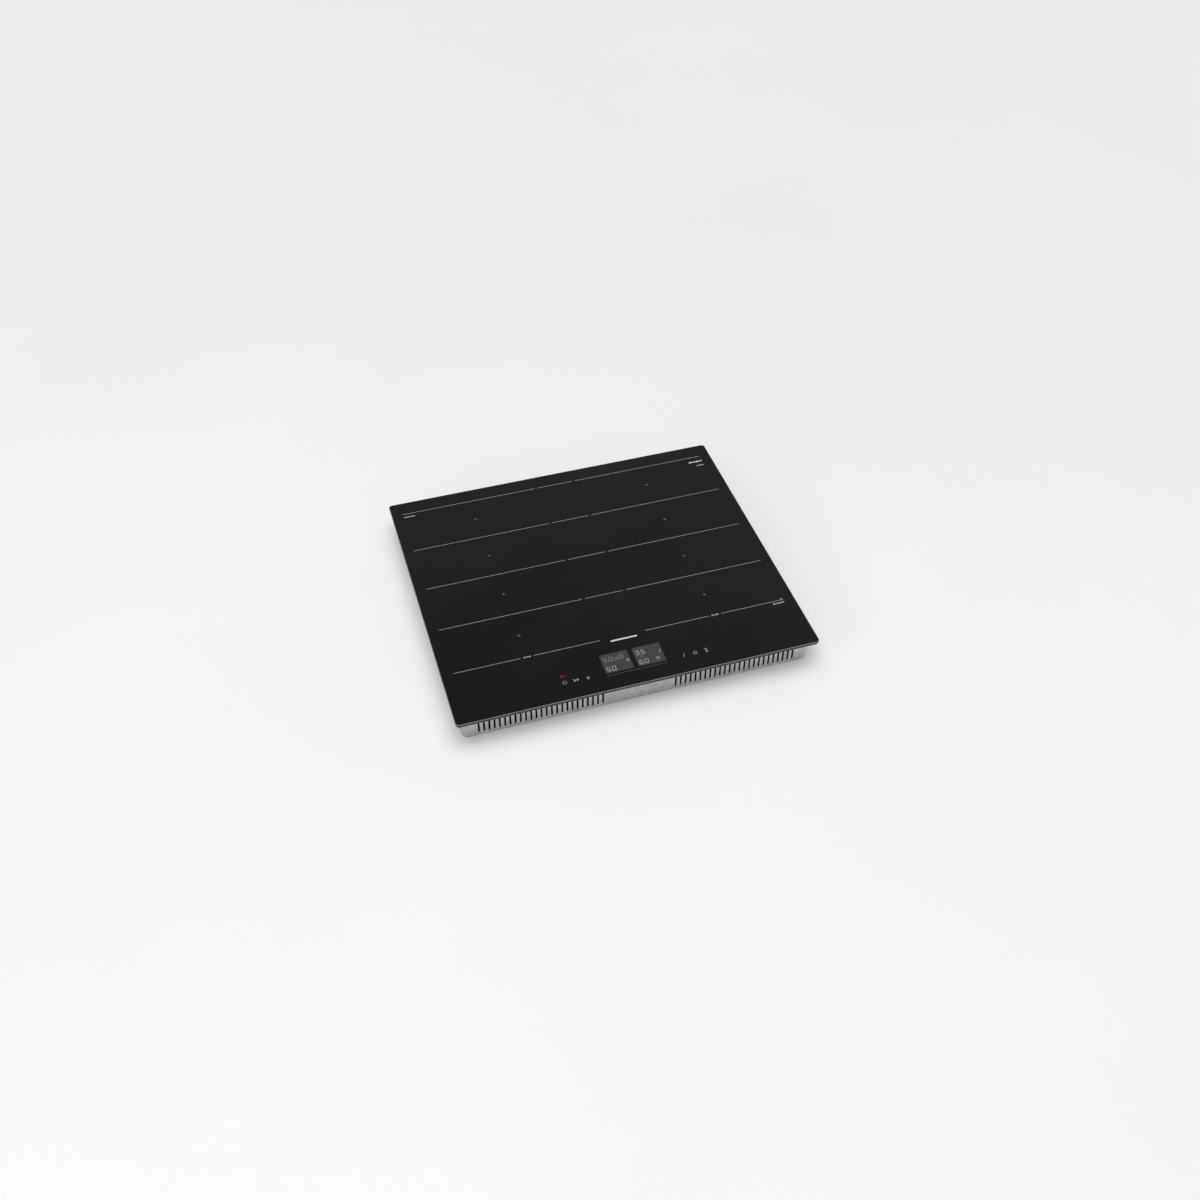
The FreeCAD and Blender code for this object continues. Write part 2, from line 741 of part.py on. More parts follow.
def make_housing_tray():
    """A sheet tray with air slots, two round air inlets and a gap in its back wall for the terminal box."""
    body = new_body("housing_tray")
    outline = rectangle_sketch(body, "tray_outline", "tray_width", "tray_depth", ("0", "0", "0"))
    slab = pad(body, "tray_slab", outline, "tray_height")
    corners = round_edges(body, "tray_corners", slab, upright_edge, "tray_corner")
    bent = round_edges(body, "tray_bends", corners, level_edge_at(0.0), "tray_bend")
    doc.recompute()
    rim = size("tray_height") - 0.01
    top = [f"Face{i}" for i, face in enumerate(bent.Shape.Faces, 1) if face.BoundBox.ZMin > rim]
    shell = body.newObject("PartDesign::Thickness", "tray_shell")
    shell.Base = (bent, top)
    shell.Reversed = True
    bind(shell, Value="tray_sheet")
    body.Tip = shell
    for name, sign in SIDES.items():
        rib_at = (f"{sign} * zone_offset", "rib_row", "0")
        outer = slot_sketch(body, "rib_" + name, "rib_long", "rib_wide", rib_at)
        pad(body, "rib_ridge_" + name, outer, "rib_deep + tray_sheet")
        inside = ("rib_long - 2 * tray_sheet", "rib_wide - 2 * tray_sheet")
        inner = slot_sketch(body, "rib_in_" + name, *inside, rib_at)
        pocket(body, "rib_groove_" + name, inner, "rib_deep", reversed_way=True)
    domes = []
    for column in (-1, 1):
        low_x = f"{column} * (filter_width / 2 - dome_side_inset)"
        low = (low_x, "filter_row - filter_depth / 2 + dome_end_inset", "tray_sheet / 2")
        domes.append(rod(body, f"dome_{column + 1}", "dome_radius", "dome_tall + tray_sheet / 2", low))
    repeat(body, "domes", domes, "Y_Axis", "filter_depth / 2 - dome_end_inset", "3")
    doorway = ("2 * (box_half + box_play)", "doorway_deep", "box_tall + 2 * box_play")
    doorway_low = ("-box_half - box_play", "(tray_depth - doorway_deep) / 2", "box_under - box_play")
    block(body, "box_gap", doorway, doorway_low, True)
    wall_holes(body)
    side_at = ("-(side_vent_count - 1) / 2 * side_vent_pitch", "vent_height", "0")
    slot = slot_sketch(body, "side_vent", "vent_tall", "vent_across", side_at, "YZ_Plane", True)
    cut = pocket(body, "side_vent_cut", slot, both_ways=True)
    repeat(body, "side_vents", [cut], "Y_Axis", "side_vent_pitch", "side_vent_count")
    first_left = "-vent_first - (vent_count - 1) * vent_pitch"
    for name, start in (("right", "vent_first"), ("left", first_left)):
        vent_at = (start, "vent_height", "0")
        slot = slot_sketch(body, "vent_" + name, "vent_tall", "vent_across", vent_at, "XZ_Plane", True)
        cut = pocket(body, "vent_cut_" + name, slot, both_ways=True)
        repeat(body, "vents_" + name, [cut], "X_Axis", "vent_pitch", "vent_count")
    for name, sign in SIDES.items():
        centre = f"{sign} * zone_offset + blower_across"
        eye = circle_sketch(body, "inlet_eye_" + name, "grille_centre", (centre, "blower_middle", "0"))
        pocket(body, "inlet_eye_cut_" + name, eye, "tray_bend", reversed_way=True)
        spoke_at = (f"{centre} + (grille_inner + grille_outer) / 2", "blower_middle", "0")
        spoke = slot_sketch(body, "inlet_" + name, "grille_outer - grille_inner", "grille_slot", spoke_at)
        slit = pocket(body, "inlet_cut_" + name, spoke, "tray_bend", reversed_way=True)
        round_array(body, "inlets_" + name, [slit], (eye, ["N_Axis"]), "grille_count")


make_housing_tray()

# ------------------------ the two modules: carrier, power board, heatsink


def make_board_carrier(label, centre):
    """A moulded tray for a power board and its blower, with four pillars for the plate's springs."""
    body = new_body(label, x=centre)
    middle = ("0", "carrier_middle", "carrier_under")
    outline = rectangle_sketch(body, label + "_outline", "carrier_width", "carrier_depth", middle)
    slab = pad(body, label + "_slab", outline, "carrier_tall")
    round_edges(body, label + "_corners", slab, upright_edge, "carrier_corner")
    inner = ("carrier_width - 2 * carrier_wall", "carrier_depth - 2 * carrier_wall")
    floor_at = ("0", "carrier_middle", "carrier_under + carrier_thick")
    floor = rectangle_sketch(body, label + "_inside", *inner, floor_at)
    pocket(body, label + "_hollow", floor, "carrier_tall", reversed_way=True)
    eye = ("blower_across", "blower_middle", "carrier_under")
    rod(body, label + "_inlet", "carrier_eye", "carrier_thick", eye, True)
    window = ("board_width - 2 * carrier_rail", "board_depth - 2 * carrier_rail", "carrier_thick")
    middle_block(body, label + "_window", window, ("0", "board_middle"), "carrier_under", True)
    posts = []
    for name, row in (("front", "pillar_front"), ("back", "pillar_back")):
        low = ("-pillar_across", row, "carrier_under")
        posts.append(rod(body, f"{label}_pillar_{name}", "pillar_radius", "pillar_top - carrier_under", low))
        posts.append(rod(body, f"{label}_guide_{name}", "guide_radius", "guide_top - carrier_under", low))
    for name, way in (("front", -1), ("middle", 0), ("back", 1)):
        row = f"board_middle + {way} * (board_depth / 2 - stud_inset)"
        low = ("-board_width / 2 + stud_inset", row, "carrier_under")
        posts.append(rod(body, f"{label}_stud_{name}", "stud_radius", "board_under - carrier_under", low))
    mirror(body, label + "_right_half", posts, "YZ_Plane")


def make_power_board(label, centre):
    """A printed board with a row of slots that keeps the mains side apart from the control side."""
    body = new_body(label, x=centre)
    middle = ("0", "board_middle", "board_under")
    outline = rectangle_sketch(body, label + "_outline", "board_width", "board_depth", middle)
    slab = pad(body, label + "_slab", outline, "board_thick")
    round_edges(body, label + "_corners", slab, upright_edge, "board_corner")
    start = ("creepage_first", "board_middle - board_depth / 2 + creepage_inset", "board_under")
    creepage = slot_sketch(body, label + "_creepage", "creepage_long", "creepage_wide", start)
    cut = pocket(body, label + "_slot", creepage, both_ways=True)
    repeat(body, label + "_slots", [cut], "X_Axis", "creepage_pitch", "creepage_count")


def make_heatsink(label, centre):
    """An extruded heatsink whose fins run with the air from the blower."""
    body = new_body(label, x=centre)
    base = "board_under + board_thick"
    middle_block(body, label + "_base", ("sink_width", "sink_depth", "sink_base"), ("0", "sink_middle"), base)
    low = ("-sink_width / 2", "sink_middle - sink_depth / 2", f"{base} + sink_base - root_overlap")
    fin = block(body, label + "_fin", ("fin_thick", "sink_depth", "fin_tall + root_overlap"), low)
    repeat(body, label + "_fins", [fin], "X_Axis", "(sink_width - fin_thick) / (fin_count - 1)", "fin_count")


def make_power_parts(label, centre):
    """Transistors in a row on each side of the heatsink, with film and drum capacitors beyond them."""
    body = new_body(label, x=centre)
    body.AllowCompound = True
    top = "board_under + board_thick"
    first = "sink_middle - sink_depth / 2 + switch_inset"
    switch = ("switch_thick", "switch_wide", "switch_tall")
    row = []
    for name, sign in SIDES.items():
        low_x = f"{sign} * (sink_width / 2 + switch_off) - switch_thick / 2"
        row.append(block(body, f"{label}_switch_{name}", switch, (low_x, first, top)))
    repeat(body, label + "_switches", row, "Y_Axis", "switch_pitch", "switch_count")
    can = ("can_width", "can_depth", "can_tall")
    cans = []
    for name, sign in SIDES.items():
        low = (f"{sign} * (board_width / 2 - can_inset) - can_width / 2", "board_middle + can_row", top)
        cans.append(block(body, f"{label}_capacitor_{name}", can, low))
        drum = (f"{sign} * (board_width / 2 - drum_inset)", "board_middle + drum_row", top)
        cans.append(rod(body, f"{label}_drum_{name}", "drum_radius", "drum_tall", drum))
    repeat(body, label + "_capacitors", cans, "Y_Axis", "can_pitch", "can_count")


# ------------------------ blowers


def make_blower_housing(label, centre):
    """A flat volute: it draws air through the floor and blows it along the heatsink."""
    body = new_body(label, x=f"{centre} + blower_across", y="blower_middle")
    inner_under = "blower_under + blower_wall"
    inner_tall = "blower_tall - 2 * blower_wall"
    rod(body, label + "_drum", "blower_radius", "blower_tall", ("0", "0", "blower_under"))
    duct = ("outlet_width", "outlet_reach", "blower_tall")
    block(body, label + "_duct", duct, ("-blower_radius", "-outlet_reach", "blower_under"))
    rod(body, label + "_chamber", "blower_radius - blower_wall", inner_tall, ("0", "0", inner_under), True)
    air = ("outlet_width - 2 * blower_wall", "outlet_reach + duct_overlap", inner_tall)
    air_low = ("-blower_radius + blower_wall", "-outlet_reach - duct_overlap", inner_under)
    block(body, label + "_air", air, air_low, True)
    eye_tall = "blower_wall + 2 * cut_extra"
    rod(body, label + "_inlet", "inlet_radius", eye_tall, ("0", "0", "blower_under - cut_extra"), True)
    boss_under = "blower_under + blower_tall - root_overlap"
    rod(body, label + "_boss", "stator_radius", "boss_tall", ("0", "0", boss_under))


def make_blower_motor(label, centre):
    """The fixed half of an external-rotor motor, with the bearing bore for the impeller's shaft."""
    body = new_body(label, x=f"{centre} + blower_across", y="blower_middle")
    top = "blower_under + blower_tall - blower_wall"
    under = "rotor_under + core_lift"
    rod(body, label + "_core", "core_radius", f"{top} - ({under})", ("0", "0", under))
    rod(body, label + "_flange", "stator_radius", "stator_flange", ("0", "0", f"{top} - stator_flange"))
    tooth_low = ("0", "-tooth_wide / 2", "rotor_under + tooth_lift")
    tooth = block(body, label + "_tooth", ("tooth_long", "tooth_wide", "tooth_tall"), tooth_low)
    round_array(body, label + "_teeth", [tooth], (origin_feature(body, "Z_Axis"), [""]), "tooth_count")
    bore = "shaft_radius + shaft_play"
    rod(body, label + "_bearing", bore, "blower_tall", ("0", "0", "rotor_under - cut_extra"), True)


def make_impeller(label, centre):
    """A drum impeller: backplate on top, curved ring of blades, and a cup with magnets over the stator."""
    body = new_body(label, x=f"{centre} + blower_across", y="blower_middle")
    cup_inner = "rotor_radius - rotor_wall"
    rod(body, label + "_plate", "wheel_outer", "wheel_plate", ("0", "0", "wheel_top - wheel_plate"))
    rod(body, label + "_cup", "rotor_radius", "wheel_top - rotor_under", ("0", "0", "rotor_under"))
    hollow = "wheel_top - rotor_under"
    rod(body, label + "_cup_inside", cup_inner, hollow, ("0", "0", "rotor_under + wheel_plate"), True)
    rod(body, label + "_shaft", "shaft_radius", "shaft_long", ("0", "0", "rotor_under + wheel_plate / 2"))
    ring = circle_sketch(body, label + "_ring_outline", "wheel_outer", ("0", "0", "wheel_under"))
    pad(body, label + "_ring", ring, "wheel_ring_tall")
    eye = circle_sketch(body, label + "_eye", "wheel_outer - wheel_ring_wide", ("0", "0", "wheel_under"))
    pocket(body, label + "_eye_cut", eye, "wheel_ring_tall", reversed_way=True)
    low = ("wheel_inner", "0", "wheel_under + wheel_ring_tall / 2")
    blade_tall = "wheel_top - wheel_under - wheel_ring_tall"
    blade = block(body, label + "_blade", ("blade_long", "blade_thick", blade_tall), low)
    blade.AttachmentOffset = Placement(Vector(), Rotation(Vector(0, 0, 1), size("blade_lean")))
    round_array(body, label + "_blades", [blade], (origin_feature(body, "Z_Axis"), [""]), "blade_count")


# ------------------------ floating inductor plates with their coils


def make_inductor_plate(label, centre):
    """An aluminium plate with folded long edges, holes for the pillars' guide pins and lead-through slots."""
    body = new_body(label, x=centre)
    middle = ("0", "plate_middle", "plate_under")
    outline = rectangle_sketch(body, label + "_outline", "plate_width", "plate_depth", middle)
    slab = pad(body, label + "_slab", outline, "plate_thick")
    round_edges(body, label + "_corners", slab, upright_edge, "plate_corner")
    for name, sign in SIDES.items():
        lip = ("plate_thick", "plate_depth - 2 * lip_inset", "plate_lip")
        low_x = f"{sign} * (plate_width - plate_thick) / 2 - plate_thick / 2"
        low_y = "plate_middle - plate_depth / 2 + lip_inset"
        block(body, f"{label}_lip_{name}", lip, (low_x, low_y, "plate_under - plate_lip"))
    through, below = "plate_thick + 2 * cut_extra", "plate_under - cut_extra"
    for side, sign in SIDES.items():
        for name, row in (("front", "pillar_front"), ("back", "pillar_back")):
            low = (f"{sign} * pillar_across", row, below)
            rod(body, f"{label}_guide_{side}_{name}", "guide_radius + guide_play", through, low, True)
    eye_at = ("0", "zone_first + lead_eye_row", below)
    eye = rod(body, label + "_lead_eye", "lead_eye", through, eye_at, True)
    slot_at = ("-lead_across", "zone_first", "plate_under")
    slot = slot_sketch(body, label + "_lead", "lead_long", "lead_wide", slot_at)
    lead = pocket(body, label + "_lead_cut", slot, both_ways=True)
    repeat(body, label + "_leads", [eye, lead], "Y_Axis", "zone_pitch", "zone_count")


def make_ferrite_bars(label, centre):
    """Ferrite bars under each coil, which keep its field out of the electronics."""
    body = new_body(label, x=centre)
    body.AllowCompound = True
    bar = ("ferrite_wide", "ferrite_long", "ferrite_thick")
    bars = []
    for zone in range(int(size("zone_count"))):
        low = (
            "-ferrite_pitch * (ferrite_count - 1) / 2 - ferrite_wide / 2",
            f"zone_first + {zone} * zone_pitch - ferrite_long / 2",
            "plate_under + plate_thick",
        )
        bars.append(block(body, f"{label}_bar_{zone}", bar, low))
    repeat(body, label + "_bars", bars, "X_Axis", "ferrite_pitch", "ferrite_count")


def make_coil_formers(label, centre):
    """Moulded oval formers: a floor, an outer rim and a hub for each coil."""
    body = new_body(label, x=centre)
    body.AllowCompound = True
    under = "plate_under + plate_thick + ferrite_thick"
    outer = "coil_inner + (coil_turns - 1) * litz_pitch + 2 * litz_radius + coil_play"
    hub = "coil_inner - hub_play"
    hub_tall = "glass_under - mat_gap - mat_thick - plate_under - plate_thick - ferrite_thick"
    middle = ("0", "zone_first", under)
    trough = ("0", "zone_first", f"{under} + former_thick")
    steps = []
    for name, radius, place, tall in (
        ("rim", f"{outer} + former_wall", middle, "former_thick + 2 * litz_radius"),
        ("trough", outer, trough, None),
        ("hub", hub, middle, hub_tall),
        ("well", f"{hub} - former_wall", middle, None),
    ):
        wide = f"2 * ({radius})"
        shape = slot_sketch(body, f"{label}_{name}", f"coil_straight + {wide}", wide, place)
        if tall:
            steps.append(pad(body, f"{label}_{name}_pad", shape, tall))
        else:
            steps.append(pocket(body, f"{label}_{name}_cut", shape, "ferrite_long", reversed_way=True))
    repeat(body, label + "_zones", steps, "Y_Axis", "zone_pitch", "zone_count")


def eight_sided(centre, radius, normal_x):
    """A regular octagon with flats at top and bottom, whose flats lie at the given radius."""
    corner = radius / math.cos(math.pi / 8)
    points = []
    for step in range(9):
        angle = math.pi / 8 + step * math.pi / 4
        side, up = corner * math.cos(angle), corner * math.sin(angle)
        points.append(centre + (Vector(0, side, up) if normal_x else Vector(side, 0, up)))
    return Part.makePolygon(points)


def oval_winding():
    """One flat oval winding of litz turns side by side, centred on the origin, its underside at z = 0."""
    radius, half = size("litz_radius"), size("coil_straight") / 2
    turns = []
    for turn in range(int(size("coil_turns"))):
        centre = Vector(0, size("coil_inner") + radius + turn * size("litz_pitch"), radius)
        turns.append(Part.Face(eight_sided(centre, radius, True)))
    profile = turns[0].multiFuse(turns[1:]).removeSplitter().Faces[0]
    run = profile.copy()
    run.translate(Vector(-half, 0, 0))
    run = run.extrude(Vector(2 * half, 0, 0))
    bend = profile.copy()
    bend.translate(Vector(half, 0, 0))
    bend = bend.revolve(Vector(half, 0, 0), Vector(0, 0, 1), -180)
    back_run = run.mirror(Vector(), Vector(0, 1, 0))
    back_bend = bend.mirror(Vector(), Vector(1, 0, 0))
    return run.multiFuse([bend, back_run, back_bend]).removeSplitter()


def make_glass_sensors(label, centre):
    """A temperature sensor in its clip at the middle of each coil, pressed up to the mat."""
    body = new_body(label, x=centre)
    body.AllowCompound = True
    under = "plate_under + plate_thick"
    tall = f"glass_under - 2 * mat_gap - mat_thick - ({under})"
    row = "zone_first - sensor_off"
    foot_size = ("sensor_foot_wide", "sensor_foot_deep", "sensor_foot_tall")
    foot = middle_block(body, label + "_foot", foot_size, ("0", row), under)
    stem = rod(body, label + "_stem", "sensor_stem", tall, ("0", row, under))
    cap = rod(body, label + "_cap", "sensor_radius", "sensor_cap", ("0", row, f"{under} + {tall} - sensor_cap"))
    repeat(body, label + "_zones", [foot, stem, cap], "Y_Axis", "zone_pitch", "zone_count")


def make_insulation_mat(label, centre):
    """A fibre mat between the coils and the glass."""
    body = new_body(label, x=centre)
    middle = ("0", "plate_middle", "glass_under - mat_gap - mat_thick")
    extent = ("plate_width - 2 * mat_side_inset", "plate_depth - 2 * mat_end_inset")
    outline = rectangle_sketch(body, label + "_outline", *extent, middle)
    slab = pad(body, label + "_slab", outline, "mat_thick")
    round_edges(body, label + "_corners", slab, upright_edge, "mat_corner")


def make_plate_springs(label, centre):
    """Four compression springs round the guide pins, between the pillars and the plate."""
    wire, radius = size("spring_wire"), size("spring_radius")
    tall = size("plate_under") - size("pillar_top") - 2 * size("spring_seat")
    runs_a_turn = 16
    steps = runs_a_turn * int(size("spring_turns"))
    points = []
    for step in range(steps + 1):
        angle = 2 * math.pi * step / runs_a_turn
        points.append(Vector(radius * math.cos(angle), radius * math.sin(angle), tall * step / steps))
    section = eight_sided(points[0], wire, False)
    spring = Part.makePolygon(points).makePipeShell([section], True, False, 1)
    level = size("pillar_top") + size("spring_seat")
    rows = (size("pillar_front"), size("pillar_back"))
    places = [at(sign * size("pillar_across"), row, level) for sign in SIDES.values() for row in rows]
    copies(label, spring, places, x=centre)


winding = oval_winding()

for side, sign in SIDES.items():
    module_centre = f"{sign} * zone_offset"
    module_x = sign * size("zone_offset")
    make_board_carrier("board_carrier_" + side, module_centre)
    make_power_board("power_board_" + side, module_centre)
    make_heatsink("heatsink_" + side, module_centre)
    make_power_parts("power_parts_" + side, module_centre)
    make_blower_housing("blower_housing_" + side, module_centre)
    make_blower_motor("blower_motor_" + side, module_centre)
    make_impeller("impeller_" + side, module_centre)
    make_inductor_plate("inductor_plate_" + side, module_centre)
    make_ferrite_bars("ferrite_bars_" + side, module_centre)
    make_coil_formers("coil_formers_" + side, module_centre)
    coil_under = size("plate_under") + size("plate_thick") + size("ferrite_thick") + size("former_thick")
    for zone in range(int(size("zone_count"))):
        row = size("zone_first") + zone * size("zone_pitch")
        shape_part(f"coil_{side}_{zone + 1}", winding, module_x, row, coil_under)
    make_glass_sensors("glass_sensors_" + side, module_centre)
    make_insulation_mat("insulation_mat_" + side, module_centre)
    make_plate_springs("plate_springs_" + side, module_x)

# ------------------------ control unit behind the front edge


def key_places():
    """The six key positions along the front edge, from left to right."""
    steps = range(3)
    left = [f"-key_first - {step} * key_pitch" for step in reversed(steps)]
    right = [f"key_first + {step} * key_pitch" for step in steps]
    return left + right


def make_control_carrier():
    """A moulded trough on four legs, which holds the control board right under the glass."""
    body = new_body("control_carrier")
    middle = ("0", "control_row", "control_under")
    outline = rectangle_sketch(body, "control_outline", "control_width", "control_depth", middle)
    slab = pad(body, "control_slab", outline, "control_tall")
    round_edges(body, "control_corners", slab, upright_edge, "control_corner")
    inner = ("control_width - 2 * control_wall", "control_depth - 2 * control_wall")
    floor_at = ("0", "control_row", "control_under + control_wall")
    floor = rectangle_sketch(body, "control_inside", *inner, floor_at)
    pocket(body, "control_hollow", floor, "control_tall", reversed_way=True)
    stud_tall = "control_board_under - control_under"
    posts = []
    for name, sign in (("front", -1), ("back", 1)):
        row = f"control_row + {sign} * (control_depth / 2 - control_inset)"
        leg_at = ("-control_width / 2 + control_inset", row, "tray_sheet")
        posts.append(rod(body, "control_leg_" + name, "control_leg", "control_under", leg_at))
        for place, column in enumerate(("control_width / 2 - control_inset", "control_width / 6")):
            low = (f"-({column})", row, "control_under")
            posts.append(rod(body, f"control_stud_{name}_{place}", "control_stud", stud_tall, low))
    mirror(body, "control_right_half", posts, "YZ_Plane")
    notch_row = "control_row + (control_depth - notch_deep) / 2"
    low = ("-notch_wide / 2", notch_row, "control_under + control_tall - notch_tall + cut_extra")
    block(body, "control_cable_notch", ("notch_wide", "notch_deep", "notch_tall"), low, True)


def make_control_board():
    body = new_body("control_board")
    extent = ("control_width - 2 * control_board_side", "control_depth - 2 * control_board_end")
    middle = ("0", "control_row", "control_board_under")
    outline = rectangle_sketch(body, "control_board_outline", *extent, middle)
    slab = pad(body, "control_board_slab", outline, "board_thick")
    round_edges(body, "control_board_corners", slab, upright_edge, "board_corner")


def make_display(side, sign):
    """A display module with four windows, in two rows of two."""
    label = "display_" + side
    body = new_body(label, x=f"{sign} * display_across", y="display_row")
    base = "control_board_under + board_thick"
    tall = f"glass_under - mat_gap - ({base})"
    slab = middle_block(body, label + "_block", ("display_width", "display_depth", tall), ("0", "0"), base)
    round_edges(body, label + "_corners", slab, upright_edge, "display_corner")
    window = ("window_wide", "window_tall", "window_deep + cut_extra")
    windows = []
    for name, row in (("top", "window_upper"), ("bottom", "window_lower")):
        low = ("-display_width / 2 + window_inset", row, "glass_under - mat_gap - window_deep")
        windows.append(block(body, f"{label}_window_{name}", window, low, True))
    repeat(body, label + "_windows", windows, "X_Axis", "window_pitch", "2")


def make_touch_springs():
    """A conductive foam plug under each key, between the board and the glass."""
    body = new_body("touch_springs")
    body.AllowCompound = True
    base = "control_board_under + board_thick"
    tall = f"glass_under - mat_gap - ({base})"
    for index, column in enumerate(key_places()):
        rod(body, f"key_foot_{index}", "key_radius", "key_foot_tall", (column, "key_row", base))
        rod(body, f"key_stem_{index}", "key_stem", tall, (column, "key_row", base))
        head_at = (column, "key_row", f"{base} + {tall} - key_head_tall")
        rod(body, f"key_head_{index}", "key_radius", "key_head_tall", head_at)


def make_lamp_guides():
    """Light guides behind the outermost key on each side."""
    body = new_body("lamp_guides")
    body.AllowCompound = True
    base = "control_board_under + board_thick"
    tall = f"glass_under - mat_gap - ({base})"
    guide = ("lamp_width", "lamp_depth", tall)
    columns = key_places()
    for name, column in (("left", columns[0]), ("right", columns[-1])):
        middle_block(body, "lamp_" + name, guide, (column, "lamp_row"), base)


make_control_carrier()
make_control_board()
for side, sign in SIDES.items():
    make_display(side, sign)
make_touch_springs()
make_lamp_guides()

# ------------------------ mains filter and terminal box


def make_filter_board():
    body = new_body("filter_board")
    under = "tray_sheet + dome_tall"
    middle = ("0", "filter_row", under)
    outline = rectangle_sketch(body, "filter_outline", "filter_width", "filter_depth", middle)
    slab = pad(body, "filter_slab", outline, "board_thick")
    round_edges(body, "filter_corners", slab, upright_edge, "board_corner")


def make_filter_parts():
    """Two common-mode chokes, a row of film capacitors and two relays on the filter board."""
    body = new_body("filter_parts")
    body.AllowCompound = True
    top = "tray_sheet + dome_tall + board_thick"
    for name in ("first", "second"):
        row = "filter_row + choke_" + name
        rod(body, "choke_" + name, "choke_radius", "choke_tall", ("0", row, top))
        eye_at = ("0", row, f"{top} - cut_extra")
        rod(body, "choke_eye_" + name, "choke_eye", "choke_tall + 2 * cut_extra", eye_at, True)
    film_size = ("film_wide", "film_deep", "film_tall")
    film = middle_block(body, "film_capacitor", film_size, ("0", "filter_row + film_row"), top)
    repeat(body, "film_capacitors", [film], "Y_Axis", "film_pitch", "film_count")
    relay_size = ("relay_wide", "relay_deep", "relay_tall")
    relay = block(body, "relay", relay_size, ("relay_left", "filter_row + relay_row", top))
    repeat(body, "relays", [relay], "X_Axis", "relay_pitch", "2")
    varistor = ("varistor_wide", "varistor_deep", "varistor_tall")
    middle_block(body, "varistor", varistor, ("0", "filter_row + varistor_row"), top)


def make_terminal_box():
    """A moulded box in the tray's back wall: cable entry on one side, door and cover on the other."""
    body = new_body("terminal_box")
    deep = "box_back - box_front"
    block(body, "box_outer", ("2 * box_half", deep, "box_tall"), ("-box_half", "box_front", "box_under"))
    flange_tall = "flange_low + box_tall + flange_high"
    flange = ("2 * (box_half + box_flange)", "box_back - tray_depth / 2", flange_tall)
    block(body, "box_flange", flange, ("-box_half - box_flange", "tray_depth / 2", "box_under - flange_low"))
    inside = ("2 * (box_half - box_wall)", f"{deep} - box_wall - box_face", "box_tall - 2 * box_wall")
    low = ("-box_half + box_wall", "box_front + box_wall", "box_under + box_wall")
    block(body, "box_inside", inside, low, True)
    seat_low = "cover_axis_height - cover_thick / 2 - seat_play"
    seat = ("cover_right - cover_left", "box_wall + cut_extra", f"cover_top - ({seat_low})")
    block(body, "cover_seat", seat, ("cover_left", "box_back - box_wall", seat_low), True)
    door_wide = "cover_right - cover_left - 2 * door_inset"
    door_tall = "cover_top - cover_axis_height - door_low - door_high"
    door_at = ("cover_left + door_inset", "box_back - box_face - cut_extra", "cover_axis_height + door_low")
    block(body, "door", (door_wide, "box_face + 2 * cut_extra", door_tall), door_at, True)
    for name, start in (("left", "cover_left - cover_pin_long"), ("right", "cover_right - cut_extra")):
        bore_at = ("cover_axis_row", "cover_axis_height", start)
        bore_long = "cover_pin_long + cut_extra"
        rod(body, "hinge_bore_" + name, "cover_pin + pin_play", bore_long, bore_at, True, "YZ_Plane")
    collar = ("cable_across", "cable_height", "-box_back + box_face")
    rod(body, "cable_collar", "cable_radius + box_wall", "cable_deep - box_face", collar, plane="XZ_Plane")
    entry = ("cable_across", "cable_height", "-box_back - cut_extra")
    rod(body, "cable_bore", "cable_radius", "cable_deep + 2 * cut_extra", entry, True, "XZ_Plane")
    foot = "box_under + box_wall - root_overlap"
    for side, sign in SIDES.items():
        low = (f"cable_across + {sign} * clamp_post", "clamp_row", foot)
        rod(body, "clamp_post_" + side, "post_radius", f"clamp_under - ({foot})", low)
    for side, sign in SIDES.items():
        low = (f"cable_across + {sign} * clamp_post", "clamp_row", "clamp_under - clamp_hole_deep")
        rod(body, "clamp_hole_" + side, "clamp_hole", "clamp_hole_deep + cut_extra", low, True)


def make_cable_clamp():
    """A bar with a ribbed saddle that two screws press on the cable."""
    body = new_body("cable_clamp")
    bar = ("2 * (clamp_post + bar_end)", "bar_deep", "bar_tall")
    middle_block(body, "clamp_bar", bar, ("cable_across", "clamp_row"), "clamp_under + bar_play")
    for side, sign in SIDES.items():
        low = (f"cable_across + {sign} * clamp_post", "clamp_row", "clamp_under - cut_extra")
        rod(body, "bar_hole_" + side, "clamp_hole", "bar_play + bar_tall + 2 * cut_extra", low, True)
    first_row = "clamp_row - ridge_pitch - ridge_wide / 2"
    ridge_at = ("cable_across - ridge_long / 2", first_row, "clamp_under - ridge_drop")
    ridge = block(body, "clamp_ridge", ("ridge_long", "ridge_wide", "ridge_tall"), ridge_at)
    repeat(body, "clamp_ridges", [ridge], "Y_Axis", "ridge_pitch", "3")


def make_terminal_block():
    """Five separate poles side by side: a wire enters each from the back and a screw above it clamps it."""
    body = new_body("terminal_block")
    body.AllowCompound = True
    base = "box_under + box_wall"
    extent = ("pole_width", "block_back - block_front", f"block_top - ({base})")
    pole = block(body, "pole", extent, ("pole_first - pole_width / 2", "block_front", base))
    repeat(body, "poles", [pole], "X_Axis", "pole_pitch", "pole_count")
    for name, radius, reach, level in (
        ("wire_bore", "pole_radius", "pole_deep", "pole_height"),
        ("screw_well", "well_radius", "well_deep", "pole_screw_height"),
        ("screw_thread", "thread_radius", "thread_deep", "pole_screw_height"),
    ):
        hole = rod(body, name, radius, reach, ("pole_first", level, "-block_back"), True, "XZ_Plane")
        repeat(body, name + "s", [hole], "X_Axis", "pole_pitch", "pole_count")


